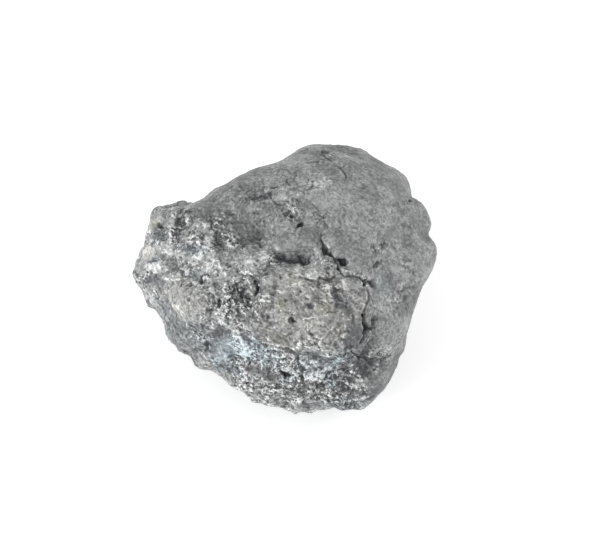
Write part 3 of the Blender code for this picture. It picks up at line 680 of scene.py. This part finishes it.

# Warm stains (above 0), and cool tints (below 0) that paint bluish reflections and bluish shade:
# reflections on the front face and the lower rim, shade in the recess and the hollows and on the slope by the
# open crack.
TINTS = (
    (0.8, 0.1, 0.5, 0.6, 0, 0.5),  # boss
    (-0.1, -2.4, 0.6, 0.5, 0, 0.5),
    (4.0, -2.8, 0.8, 0.4, 0, 0.5),
    (5.1, -4.8, 0.4, 0.6, 0, 0.5),
    (3.0, -3.2, 4.4, 3.2, -12, 0.3),
    (-1.0, -5.4, 1.8, 0.5, -27, 0.5),
    (-9.2, -2.0, 1.6, 1.4, -35, 0.35),  # left cheek
    (-12.0, 5.1, 0.5, 0.5, 0, 0.9),
    (-12.5, 2.5, 0.5, 0.5, 0, 0.5),
    (-11.5, 3.9, 0.6, 0.5, 0, -0.8),
    (-8.4, 2.6, 1.1, 0.4, 0, -0.8),
    (-12.0, 1.7, 0.5, 0.25, 20, -0.8),
    (-12.2, -0.15, 0.8, 0.4, 0, -0.4),
    (-8.25, 0.3, 0.35, 0.45, 0, -0.7),
    (-10.9, -2.9, 0.4, 1.6, 35, -0.6),
    (-3.5, -6.4, 1.3, 1.1, -20, -0.8),  # front face
    (-5.4, -6.4, 0.8, 1.6, 0, -0.9),
    (-1.6, -7.4, 1.6, 0.8, -20, -0.7),
    (-2.4, -6.1, 1.2, 0.2, -25, -1.0),
    (2.8, -8.0, 1.6, 1.1, 0, -0.6),
    (4.6, -7.9, 0.6, 0.4, 20, -1.0),
    (4.4, -9.5, 0.6, 0.6, 0, -0.8),
    (5.6, -7.2, 0.8, 0.6, 0, -0.6),
    (-8.0, -5.6, 3.0, 1.3, -15, -0.5),  # shelf
    (-5.3, -8.3, 1.6, 0.4, -28, -0.9),
    (0.7, 1.7, 1.3, 0.45, -4, -0.8),  # recess
    (5.3, 1.6, 0.5, 0.4, 0, -0.8),
    (5.4, -2.3, 0.7, 0.5, -30, -0.6),
    (9.0, -0.6, 0.8, 1.2, 0, -0.4),
    (6.4, -5.8, 0.8, 1.6, 0, -0.4),
    (5.5, -11.6, 2.0, 0.4, 0, -0.6),
    (8.6, -10.4, 1.2, 0.4, 40, -0.5),
    (0.3, -9.2, 1.0, 0.5, 0, -0.5),
)


def smooth_step(low, high, value):
    """0 at low, 1 at high, and a smooth rise between them."""
    share = np.clip((value - low) / (high - low), 0, 1)
    return share * share * (3 - 2 * share)


def raised(shares, where):
    """A share that holds everywhere, raised by a further share in places."""
    return shares[0] + shares[1] * where


def show_middle(places):
    """Where the show plane's middle lies along its axes, for a lump whose places are in millimetres."""
    flat = places @ np.array((ACROSS, UP)).T
    across, up = (flat.min(0) + flat.max(0)) / 2
    back = (up - MIDDLE_HEIGHT * UP.z) / UP.y
    return np.array((across, up, back * OUT.y + MIDDLE_HEIGHT * OUT.z))


def on_show_plane(places, middle):
    """Places of the lump, in millimetres, as (across, up, out) from the show plane's middle."""
    return places @ np.array((ACROSS, UP, OUT)).T - middle


def seen_on_plane(places):
    """Where the lines from the eye through the places meet the show plane."""
    return EYE_AIM + (places[:, :2] - EYE_AIM) * (EYE_AWAY / (EYE_AWAY - places[:, 2]))[:, None]


def noise_at(places, size):
    """Smooth noise at each place, about -1 to 1, with lumps of a size in millimetres."""
    return np.array([noise.noise(place) for place in (places / size).tolist()])


def sway_at(places, size, axes):
    """Smooth noise along each of a number of axes."""
    return np.stack([noise_at(places + shift, size) for shift in SWAY_SHIFTS[:axes]], 1)


def crystals_at(places, width, lean, step):
    """Height of a mosaic of flat, tilted faces at each place, and a random value for the place's crystal."""
    heights = np.empty(len(places))
    kinds = np.empty(len(places))
    for index, place in enumerate((places / width).tolist()):
        _, points = noise.voronoi(place)
        facing = noise.cell_vector(points[0])
        offset = Vector(place) - points[0]
        tilt = (facing.x * 2 - 1) * offset.x + (facing.y * 2 - 1) * offset.y + (facing.z * 2 - 1) * offset.z
        heights[index] = tilt * width * lean + (facing.x * 2 - 1) * step
        kinds[index] = facing.y
    return heights, kinds


def pocks_at(places, spacing, radius, depth, share):
    """Depth of small scattered pits at each place."""
    depths = np.zeros(len(places))
    for index, place in enumerate((places / spacing).tolist()):
        distances, points = noise.voronoi(place)
        chance = noise.cell_vector(points[0])
        if chance.x < share:
            reach = distances[0] * spacing / (radius * (SMALLEST_POCK + (1 - SMALLEST_POCK) * chance.y))
            depths[index] = depth * max(0.0, 1 - reach**2)
    return depths


def blades():
    """Short, slightly bent lines scattered in the hollows, as line marks."""
    scatter = random.Random(SEED)
    marks = []
    for across, up, half_width, half_height, count in BLADES:
        for _ in range(count):
            aside = scatter.uniform(-1, 1) * half_width
            above = scatter.uniform(-1, 1) * half_height
            middle = np.array((across + aside, up + above))
            turn = math.radians(scatter.uniform(*BLADE_TURN))
            along = np.array((math.cos(turn), math.sin(turn))) * scatter.uniform(*BLADE_LENGTH)
            bend = np.array((-along[1], along[0])) * scatter.uniform(-BLADE_BEND, BLADE_BEND)
            marks.append(((middle - along / 2, middle + bend, middle + along / 2), BLADE_HALF_WIDTH, 1.0))
    return marks


def stamps(flat, marks, sharpness=2):
    """The sum of the ovals at each place. A sharpness of 1 makes them fade out over a wider band."""
    total = np.zeros(len(flat))
    for across, up, half_width, half_height, turn, strength in marks:
        angle = math.radians(turn)
        x = flat[:, 0] - across
        y = flat[:, 1] - up
        along = (x * math.cos(angle) + y * math.sin(angle)) / half_width
        aside = (y * math.cos(angle) - x * math.sin(angle)) / half_height
        total += strength * np.exp(-((along**2 + aside**2) ** sharpness) / 2)
    return total


def covered(flat, marks):
    """How far each place lies within the ovals, from 0 to 1."""
    return np.clip(stamps(flat, marks), 0, 1)


def lines(flat, marks):
    """The sum of the lines at each place: each runs through points, with a half width and a strength."""
    total = np.zeros(len(flat))
    for points, half_width, strength in marks:
        nearest = np.full(len(flat), np.inf)
        for start, end in zip(points, points[1:]):
            step = np.subtract(end, start)
            share = np.clip((flat - start) @ step / (step @ step), 0, 1)
            nearest = np.minimum(nearest, np.hypot(*(flat - start - share[:, None] * step).T))
        total += strength * np.exp(-((nearest / half_width) ** 2))
    return total


def skin_at(places):
    """1 where the lump has its smooth skin, 0 where it is broken and crystalline."""
    wander = noise_at(places, SKIN_WANDER_SIZE) * SKIN_WANDER
    edge = np.interp(places[:, 0], SKIN_EDGE_ACROSS, SKIN_EDGE_UP)
    above = places[:, 1] + np.minimum(places[:, 2], 0) * SKIN_BACK - edge
    inside = np.maximum(above, places[:, 0] - SKIN_RIGHT) + wander
    for *middle, radius in BROKEN_PATCHES:
        inside = np.minimum(inside, np.linalg.norm(places - middle, axis=1) - radius + wander)
    return smooth_step(-SKIN_FADE, SKIN_FADE, inside)


def mesh_places(mesh):
    """The mesh's vertices as an array."""
    places = np.empty(len(mesh.vertices) * 3)
    mesh.vertices.foreach_get("co", places)
    return places.reshape(-1, 3)


def mesh_normals(mesh):
    """The mesh's vertex normals as an array."""
    normals = np.empty(len(mesh.vertices) * 3, np.float32)
    mesh.vertex_normals.foreach_get("vector", normals)
    return normals.reshape(-1, 3).astype(float)


def set_places(mesh, places):
    """Moves the mesh's vertices to the places."""
    mesh.vertices.foreach_set("co", places.ravel())
    mesh.update()


def set_values(mesh, name, values):
    """Stores one number for each vertex, for the material to read."""
    attribute = mesh.attributes.get(name) or mesh.attributes.new(name, "FLOAT", "POINT")
    attribute.data.foreach_set("value", np.asarray(values, np.float32))


def applied(lump):
    """Applies the lump's modifiers."""
    graph = bpy.context.evaluated_depsgraph_get()
    mesh = bpy.data.meshes.new_from_object(lump.evaluated_get(graph))
    old = lump.data
    lump.modifiers.clear()
    lump.data = mesh
    bpy.data.meshes.remove(old)


def weigh(lump, name, values):
    """Makes a vertex group of the values, without the vertices that have next to nothing."""
    group = lump.vertex_groups.new(name=name)
    for index, value in enumerate(values.tolist()):
        if value > 0.01:
            group.add((index,), value, "REPLACE")


def add_smoothing(lump, rounds, group=""):
    """Adds rounds of smoothing to the lump, or to a vertex group of it."""
    smooth = lump.modifiers.new("smooth", "SMOOTH")
    smooth.iterations = rounds
    smooth.vertex_group = group


def even_out(lump, cell):
    """Remakes the lump's surface of even faces of a cell's size."""
    rebuild = lump.modifiers.new("rebuild", "REMESH")
    rebuild.mode = "VOXEL"
    rebuild.voxel_size = cell
    applied(lump)


def rebuilt_lump(cell):
    """A copy of the solid, in millimetres, whose surface is made of even faces of a cell's size."""
    shape = bmesh.new()
    shape.from_mesh(SOLID.data)
    bmesh.ops.remove_doubles(shape, verts=shape.verts, dist=1e-6)
    bmesh.ops.scale(shape, vec=(1 / MM, 1 / MM, 1 / MM), verts=shape.verts)
    mesh = bpy.data.meshes.new("rough_diamond_surface")
    shape.to_mesh(mesh)
    shape.free()
    lump = bpy.data.objects.new("rough_diamond_surface", mesh)
    bpy.context.scene.collection.objects.link(lump)
    even_out(lump, cell)
    return lump


def wear(lump, middle, sizes):
    """Smooths the solid's flat faces away: lightly where it is broken, and wholly on the skin."""
    flat = on_show_plane(mesh_places(lump.data), middle)
    worn = covered(seen_on_plane(flat), WORN) * smooth_step(*IN_FRONT, flat[:, 2])
    weigh(lump, "worn", np.maximum(skin_at(flat), worn))
    add_smoothing(lump, sizes.broken_wear)
    add_smoothing(lump, sizes.skin_wear, "worn")
    applied(lump)
    lump.vertex_groups.clear()


def swell(lump, middle):
    """Brings the outline to its place, and fills the hollows that were worn away."""
    places = mesh_places(lump.data)
    normals = mesh_normals(lump.data)
    flat = on_show_plane(places, middle)
    seen = seen_on_plane(flat)
    rise = stamps(seen, SWELLS, 1) * smooth_step(*NOT_TURNED_AWAY, normals @ np.array(OUT))
    rise += stamps(seen, FILLS, 1) * smooth_step(*IN_FRONT, flat[:, 2])
    rise *= smooth_step(*ABOVE_FOOT, places[:, 2])
    set_places(lump.data, places + normals * rise[:, None])


def smoothed_places(lump, rounds):
    """Where the vertices would lie if the lump were smoothed."""
    add_smoothing(lump, rounds)
    graph = bpy.context.evaluated_depsgraph_get()
    mesh = lump.evaluated_get(graph).to_mesh()
    places = mesh_places(mesh)
    lump.evaluated_get(graph).to_mesh_clear()
    lump.modifiers.clear()
    return places


def carve(lump, middle):
    """Cuts the crystals, pits and cracks, and stores what the material needs to know about them."""
    mesh = lump.data
    places = mesh_places(mesh)
    normals = mesh_normals(mesh)
    flat = on_show_plane(places, middle)
    outward = normals @ np.array(OUT)
    facing = smooth_step(*TURNED_TO_EYE, outward)
    seen = seen_on_plane(flat)
    fine_sway = sway_at(flat, FINE_SWAY_SIZE, 3)
    broad_sway = sway_at(flat, BROAD_SWAY_SIZE, 2)
    loose = flat + CRYSTAL_SWAY * fine_sway
    drawn = seen + LINE_SWAY[0] * fine_sway[:, :2] + LINE_SWAY[1] * broad_sway
    ragged = seen + PATCH_SWAY[0] * fine_sway[:, :2] + PATCH_SWAY[1] * broad_sway

    # Where the lump is broken, stained or painted lighter or darker, calm, coarse and rough.
    skin = skin_at(flat) * (1 - covered(ragged, RAW) * facing)
    broken = 1 - skin
    rim = smooth_step(*NOT_TURNED_AWAY, outward) * (1 - smooth_step(*INSIDE_RIM, outward)) * broken
    stains = stamps(ragged, STAINS_AND_SHADE) * facing
    calm = np.maximum(covered(ragged, CALM) * facing, RIM_CALM * rim)
    coarse = covered(ragged, COARSE) * facing * broken
    patchy = smooth_step(*HOLLOW_NOISE, noise_at(loose, HOLLOW_SIZE) + 0.5 * noise_at(loose, HOLLOW_SIZE / 3))
    patchy += COARSE_ROUGHNESS * coarse - STAIN_ROUGHNESS * stains * (1 - coarse)
    rough = np.clip(patchy, 0, 1) * (1 - calm) * raised(SKIN_ROUGHNESS, broken)

    # What is cut there.
    broad, broad_kinds = crystals_at(loose, *BROAD_CRYSTALS)
    fine, fine_kinds = crystals_at(loose, *FINE_CRYSTALS)
    large, large_kinds = crystals_at(loose, *LARGE_CRYSTALS)
    pocks = pocks_at(loose, *SPARSE_POCKS) * raised(SPARSE_POCK_RELIEF, broken)
    pocks += pocks_at(loose, *CLOSE_POCKS) * raised(CLOSE_POCK_RELIEF, rough)
    standing = lines(drawn, blades()) * facing * broken
    seams = lines(drawn, SEAMS)
    cuts = lines(drawn, CUTS)
    pits = stamps(ragged, PITS)

    rise = raised(FINE_RELIEF, rough) * fine + raised(BROAD_RELIEF, broken * (1 - calm)) * broad
    rise += coarse * (1 - rim) * large - pocks * (1 - RIM_POCKS * rim)
    rise += sum(height * noise_at(flat, size) for size, height in UNEVENNESS)
    rise += raised(GRAIN_RELIEF, rough) * noise_at(flat, GRAIN_RELIEF_SIZE) - ROUGH_DEPTH * rough
    rise += BLADE_RISE * np.clip(standing, 0, 1)
    rise += facing * (seams * SEAM_RISE - cuts - pits)
    rise *= smooth_step(*ABOVE_FOOT, places[:, 2])
    set_places(mesh, places + normals * rise[:, None])
    weigh(lump, "folded", smooth_step(*FOLDED, np.einsum("ij,ij->i", mesh_normals(mesh), normals)))

    # What the material reads.
    # Cracks, pits and small pits are painted darker the deeper they are, and the rim darker: painted shade.
    marks = (seams - cuts * CUT_SHADE - pits * PIT_SHADE) * facing
    stains += marks + standing * BLADE_PALENESS - pocks * POCK_SHADE - RIM_SHADE * rim
    stains = np.clip(stains, -MOST_STAIN_AND_SHADE, MOST_STAIN_AND_SHADE)
    glint = GLINT[0] + raised(GLINT[1:], coarse) * rough
    set_values(mesh, "skin", skin)
    set_values(mesh, "rough", rough)
    set_values(mesh, "glint", glint * np.clip(1 + stains, LEAST_GLINT, 1))
    set_values(mesh, "stain", stains)
    set_values(mesh, "tint", np.clip(stamps(ragged, TINTS) * facing - RIM_COOL_SHADE * rim, -1, 1))
    set_values(mesh, "kind", (broad_kinds + fine_kinds + large_kinds) / 3)


def unfold(lump):
    """Smooths the few places that the cutting folds over."""
    add_smoothing(lump, UNFOLD_ROUNDS, "folded")
    applied(lump)
    lump.vertex_groups.clear()


def measure_relief(lump):
    """Stores how far each place stands out from what lies around it, near by and further off, for the painted
    highlight and shade.
    """
    places = mesh_places(lump.data)
    normals = mesh_normals(lump.data)
    for name, rounds, height in RELIEF_SCALES:
        around = smoothed_places(lump, rounds)
        proud = np.einsum("ij,ij->i", places - around, normals)
        set_values(lump.data, name, np.clip(proud / height, -1, 1))


def thin(lump, triangles):
    """Merges faces where the surface is even, down to a number of triangles."""
    lump.modifiers.new("triangles", "TRIANGULATE")
    applied(lump)
    thinning = lump.modifiers.new("thinning", "DECIMATE")
    thinning.ratio = triangles / len(lump.data.polygons)
    applied(lump)


def linear(code):
    """A colour given as an sRGB hex value, as linear numbers."""
    shares = [int(code[place : place + 2], 16) / 255 for place in (1, 3, 5)]
    return tuple(s / 12.92 if s <= 0.04045 else ((s + 0.055) / 1.055) ** 2.4 for s in shares)


def colour_property(name, description, code):
    """A colour that a user can change, given as an sRGB hex value."""
    return FloatVectorProperty(name=name, description=description, subtype="COLOR", default=linear(code))


def node(tree, kind, settings, *values, **named):
    """Adds a shader node with its settings and links.

    Its inputs are given in order, by name with _ for a blank, or by number as in_6. Each takes a number, a
    colour, a socket, or a node, which stands for its first output.
    """
    made = tree.nodes.new("ShaderNode" + kind)
    for name, value in settings.items():
        setattr(made, name, value)
    given = list(zip(made.inputs, values))
    for name, value in named.items():
        place = int(name[3:]) if name.startswith("in_") else name.replace("_", " ")
        given.append((made.inputs[place], value))
    for socket, value in given:
        if isinstance(value, bpy.types.Node):
            value = value.outputs[0]
        if isinstance(value, bpy.types.NodeSocket):
            tree.links.new(value, socket)
        else:
            socket.default_value = value
    return made


class DiamondSurface(bpy.types.PropertyGroup):
    """Sizes of the lump's surface."""

    cell: FloatProperty(
        name="Cell", description="Size of the small faces", default=0.11 * MM, unit="LENGTH", precision=6
    )
    broken_wear: IntProperty(
        name="Broken wear", description="Rounds of smoothing everywhere, also where it is broken", default=24
    )
    skin_wear: IntProperty(name="Skin wear", description="Further rounds on the skin", default=130)
    triangles: IntProperty(name="Triangles", description="Number of triangles", default=195000)


class DiamondColours(bpy.types.PropertyGroup):
    """Colours of the lump, and the bluish tint of its painted reflections and shade."""

    dark: colour_property("Dark", "Graphite", "#2c2c31")
    grey: colour_property("Grey", "Body colour", "#737474")
    pale: colour_property("Pale", "Pale crystal", "#b8bab9")
    # The brightest colour also gives the painted glints.
    bright: colour_property("Bright", "Clear crystal", "#e8eae9")
    warm: colour_property("Warm", "Warm stain", "#f4efdf")
    # The cool colour tints the painted bluish reflections and shade.
    cool_painted_light: colour_property("Cool", "Cool stain", "#dfecf4")


class DiamondStage(bpy.types.PropertyGroup):
    """The stage, the camera and the light."""

    view_width: FloatProperty(
        name="View width", description="Width of the view at the lump", default=55.2 * MM, unit="LENGTH"
    )


def polycrystalline_diamond(colours):
    """Natural polycrystalline diamond: opaque and grained, with glints where crystals face the light, and
    painted glints and painted shade in its colour.
    """
    # It grew as a mass of tiny crystals, dark with graphite, and was worn and broken. The eye sees a dull,
    # even grey skin with a faint metallic sheen. Where it is broken, dark, grey and pale faces lie side by
    # side, with white flecks among them that are painted glints. The hollows between them are painted darker
    # and the proud places lighter, as painted shade and highlight, and faces that turn to the light glint.
    material = bpy.data.materials.new("polycrystalline_diamond")
    material.use_nodes = True
    tree = material.node_tree
    tree.nodes.clear()
    minus = {"operation": "SUBTRACT"}
    times = {"operation": "MULTIPLY"}
    times_plus = {"operation": "MULTIPLY_ADD"}
    scaled = {"operation": "SCALE"}
    to_edge = {"feature": "DISTANCE_TO_EDGE"}

    skin, rough, glint, stain, tint, kind, relief, hollow = (
        node(tree, "Attribute", {"attribute_name": name}).outputs["Fac"]
        for name in ("skin", "rough", "glint", "stain", "tint", "kind", "relief", "hollow")
    )
    broken = node(tree, "Math", minus, 1.0, skin)

    # The patterns, in millimetres. Faces, chips and veins are drawn out along the way the long crystals run.
    metres = node(tree, "TexCoord", {}).outputs["Object"]
    place = node(tree, "VectorMath", scaled, metres, Scale=1 / MM)
    grains = node(tree, "TexVoronoi", {}, Vector=place, Scale=1 / GRAIN_SIZE)
    grain = node(tree, "SeparateColor", {}, grains.outputs["Color"])
    speckle = node(tree, "TexNoise", {}, Vector=place, Scale=1 / SPECKLE_SIZE, Detail=4.0, Roughness=0.7)
    cloud = node(tree, "TexNoise", {}, Vector=place, Scale=1 / CLOUD_SIZE, Detail=3.0, Roughness=0.45)
    swayed = place
    for pattern, amount in ((cloud, CLOUD_SWAY), (speckle, SPECKLE_SWAY)):
        swayed = node(tree, "VectorMath", times_plus, pattern.outputs["Color"], (amount,) * 3, swayed)
    along = node(tree, "VectorMath", {"operation": "PROJECT"}, swayed, SHARD_RUN)
    swayed = node(tree, "VectorMath", times_plus, along, (-SHARD_STRETCH,) * 3, swayed)
    faces = node(tree, "TexVoronoi", {}, Vector=swayed, Scale=1 / FACE_SIZE)
    face = node(tree, "SeparateColor", {}, faces.outputs["Color"])
    chips = node(tree, "TexVoronoi", to_edge, Vector=swayed, Scale=1 / CHIP_SIZE)
    veins = node(tree, "TexVoronoi", to_edge, Vector=swayed, Scale=1 / VEIN_SIZE)

    # Where they count: not at all at the first bound, and in full at the second.
    chip_edge, vein, speckled, clear, black = (
        node(tree, "MapRange", {"interpolation_type": "SMOOTHSTEP"}, value, none, full)
        for value, none, full in (
            (chips, 0.14, 0.03),
            (veins, 0.05, 0.01),
            (speckle, 0.45, 0.6),
            (face.outputs["Green"], 0.84, 0.95),
            (face.outputs["Green"], 0.16, 0.05),
        )
    )
    vein = node(tree, "Math", times, vein, speckled)
    speck, patch, random_grain, random_crystal = (
        node(tree, "Math", minus, value, 0.5) for value in (speckle, cloud, grain, kind)
    )
    chip_edge = node(tree, "Math", times, chip_edge, node(tree, "Math", times, rough, broken))
    chip_amount = node(tree, "Math", times, face.outputs["Blue"], 0.5)
    speck_amount = node(tree, "Math", times_plus, rough, 0.5, 0.42)
    crystal_amount = node(tree, "Math", times_plus, rough, 0.25, 0.06)
    grain_amount = node(tree, "Math", times_plus, broken, 0.15, 0.1)
    grain_amount = node(tree, "Math", times_plus, glint, 0.95, grain_amount)

    # The tone starts from the mean, and each of these adds its value times its amount.
    tone = MEAN_TONE
    for value, amount in (
        (speck, speck_amount),
        (random_grain, grain_amount),
        (random_crystal, crystal_amount),
        (patch, 0.62),
        (chip_edge, chip_amount),
        (node(tree, "Math", times, vein, broken), -0.35),
        # The brightest faces, white flecks, are painted glints.
        (node(tree, "Math", times, clear, glint), 0.75),
        (node(tree, "Math", times, black, glint), -0.6),
        (rough, -0.05),
        # The stains carry painted shade too: in the recess, the valley and on the shaded slopes, in cracks,
        # pits and small pits, and along the rim.
        (stain, 0.24),
        # Proud places are painted lighter and hollows darker: painted highlight and painted shade.
        (relief, 0.16),
        (hollow, 0.1),
    ):
        tone = node(tree, "Math", times_plus, value, amount, tone)

    ramp = node(tree, "ValToRGB", {}, tone)
    low, high = ramp.color_ramp.elements
    low.position = 0.12
    low.color = (*colours.dark, 1)
    high.color = (*colours.bright, 1)
    for position, colour in ((0.5, colours.grey), (0.88, colours.pale)):
        ramp.color_ramp.elements.new(position).color = (*colour, 1)
    tinted = ramp.outputs["Color"]
    # The warm colour is a stain. The cool one paints bluish reflections and shade.
    blend = {"data_type": "RGBA", "blend_type": "MULTIPLY"}
    for colour, sign in ((colours.warm, 1.0), (colours.cool_painted_light, -1.0)):
        share = node(tree, "Math", times, tint, sign)
        share = node(tree, "Math", {"operation": "MAXIMUM"}, share, 0.0)
        tinted = node(tree, "Mix", blend, share, in_6=tinted, in_7=(*colour, 1)).outputs[2]

    # Each face leans its own way, more so where it is rough, and so glints in its own light.
    normal = node(tree, "NewGeometry", {}).outputs["Normal"]
    most_lean = node(tree, "Math", times_plus, rough, 0.5, 0.14)
    lean = node(tree, "VectorMath", minus, faces.outputs["Color"], (0.5, 0.5, 0.5))
    lean = node(tree, "VectorMath", scaled, lean, Scale=most_lean)
    facet = node(tree, "VectorMath", {"operation": "ADD"}, normal, lean)
    facet = node(tree, "VectorMath", {"operation": "NORMALIZE"}, facet)
    bump = node(tree, "Bump", {}, Height=speckle, Strength=0.7, Distance=BUMP_HEIGHT * MM, Normal=facet)
    roughness = node(tree, "Math", times_plus, grain.outputs["Green"], 0.2, 0.3)
    roughness = node(tree, "Math", times_plus, skin, 0.14, roughness)

    # The IOR is diamond's own. The graphite in it takes most of its gloss away, hence the low specular level.
    surface = node(
        tree, "BsdfPrincipled", {}, tinted,
        Roughness=roughness, IOR=2.42, Specular_IOR_Level=0.2, Normal=bump,
    )
    node(tree, "OutputMaterial", {}, Surface=surface)
    return material


class DIAMOND_OT_lump(bpy.types.Operator):
    """Make the lump's surface and finish"""

    bl_idname = "diamond.lump"
    bl_label = "Lump"

    def execute(self, context):
        sizes = context.scene.diamond_surface
        cell = sizes.cell / MM
        lump = rebuilt_lump(cell)
        middle = show_middle(mesh_places(lump.data))
        wear(lump, middle, sizes)
        swell(lump, middle)
        even_out(lump, cell)
        carve(lump, middle)
        unfold(lump)
        measure_relief(lump)
        thin(lump, sizes.triangles)
        set_places(lump.data, mesh_places(lump.data) * MM)
        lump.data.shade_smooth()
        lump.data.materials.clear()
        lump.data.materials.append(polycrystalline_diamond(context.scene.diamond_colours))
        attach(lump, "root")
        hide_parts("rough_diamond")
        return {"FINISHED"}


def add_paper(scene):
    """The white paper that the lump lies on, which glows a little so that it stays white."""
    shape = bmesh.new()
    bmesh.ops.create_grid(shape, x_segments=1, y_segments=1, size=PAPER_SIZE / 2)
    mesh = bpy.data.meshes.new("floor")
    shape.to_mesh(mesh)
    shape.free()
    floor = bpy.data.objects.new("floor", mesh)
    scene.collection.objects.link(floor)
    paper = bpy.data.materials.new("white_paper")
    paper.use_nodes = True
    surface = paper.node_tree.nodes["Principled BSDF"].inputs
    surface["Base Color"].default_value = PAPER_WHITE
    surface["Roughness"].default_value = PAPER_ROUGHNESS
    surface["Emission Color"].default_value = WHITE
    surface["Emission Strength"].default_value = PAPER_GLOW
    mesh.materials.append(paper)


def add_sky(scene):
    """Even white light from all sides."""
    world = bpy.data.worlds.new("studio")
    world.use_nodes = True
    sky = world.node_tree.nodes["Background"].inputs
    sky["Color"].default_value = WHITE
    sky["Strength"].default_value = SKY_STRENGTH
    scene.world = world


def add_light(scene, name, direction, power):
    """A square light that faces the lump from a direction."""
    light = bpy.data.lights.new(name, "AREA")
    light.energy = power
    light.size = LIGHT_SIZE
    lamp = bpy.data.objects.new(name, light)
    lamp.location = Vector(direction).normalized() * LIGHT_AWAY
    lamp.rotation_euler = Vector(direction).to_track_quat("Z", "Y").to_euler()
    scene.collection.objects.link(lamp)


def add_camera(scene, view_width):
    """The camera, square to the show plane, with a view of a width at that plane."""
    middle = show_middle(mesh_places(SOLID.data) / MM)
    across, up, out = middle + np.array((*EYE_AIM, 0))
    away = EYE_AWAY * MM
    camera = bpy.data.cameras.new("camera")
    camera.lens = camera.sensor_width * away / view_width
    eye = bpy.data.objects.new("camera", camera)
    eye.location = (ACROSS * across + UP * up + OUT * out) * MM + OUT * away
    eye.rotation_euler = (math.pi / 2 - SHOW_TILT, 0, 0)
    scene.collection.objects.link(eye)
    scene.camera = eye


class DIAMOND_OT_stage(bpy.types.Operator):
    """Make the floor, the light and the camera"""

    bl_idname = "diamond.stage"
    bl_label = "Stage"

    def execute(self, context):
        scene = context.scene
        add_paper(scene)
        add_sky(scene)
        for name, (direction, power) in LIGHTS.items():
            add_light(scene, name, direction, power)
        add_camera(scene, scene.diamond_stage.view_width)
        scene.view_settings.view_transform = "Standard"
        return {"FINISHED"}


class DIAMOND_PT_finish(bpy.types.Panel):
    """Sizes and colours of the rough diamond"""

    bl_label = "Rough Diamond"
    bl_idname = "DIAMOND_PT_finish"
    bl_space_type = "VIEW_3D"
    bl_region_type = "UI"
    bl_category = "Diamond"

    def draw(self, context):
        scene = context.scene
        for group in (scene.diamond_surface, scene.diamond_colours, scene.diamond_stage):
            box = self.layout.box()
            for name in group.__annotations__:
                box.prop(group, name)
        for operator in (DIAMOND_OT_lump, DIAMOND_OT_stage):
            self.layout.operator(operator.bl_idname)


CLASSES = (DiamondSurface, DiamondColours, DiamondStage, DIAMOND_OT_lump, DIAMOND_OT_stage, DIAMOND_PT_finish)


def register():
    for made in CLASSES:
        bpy.utils.register_class(made)
    bpy.types.Scene.diamond_surface = PointerProperty(type=DiamondSurface)
    bpy.types.Scene.diamond_colours = PointerProperty(type=DiamondColours)
    bpy.types.Scene.diamond_stage = PointerProperty(type=DiamondStage)


def unregister():
    del bpy.types.Scene.diamond_stage
    del bpy.types.Scene.diamond_colours
    del bpy.types.Scene.diamond_surface
    for made in reversed(CLASSES):
        bpy.utils.unregister_class(made)


def main():
    register()
    bpy.ops.diamond.lump()
    bpy.ops.diamond.stage()


if __name__ == "__main__":
    main()
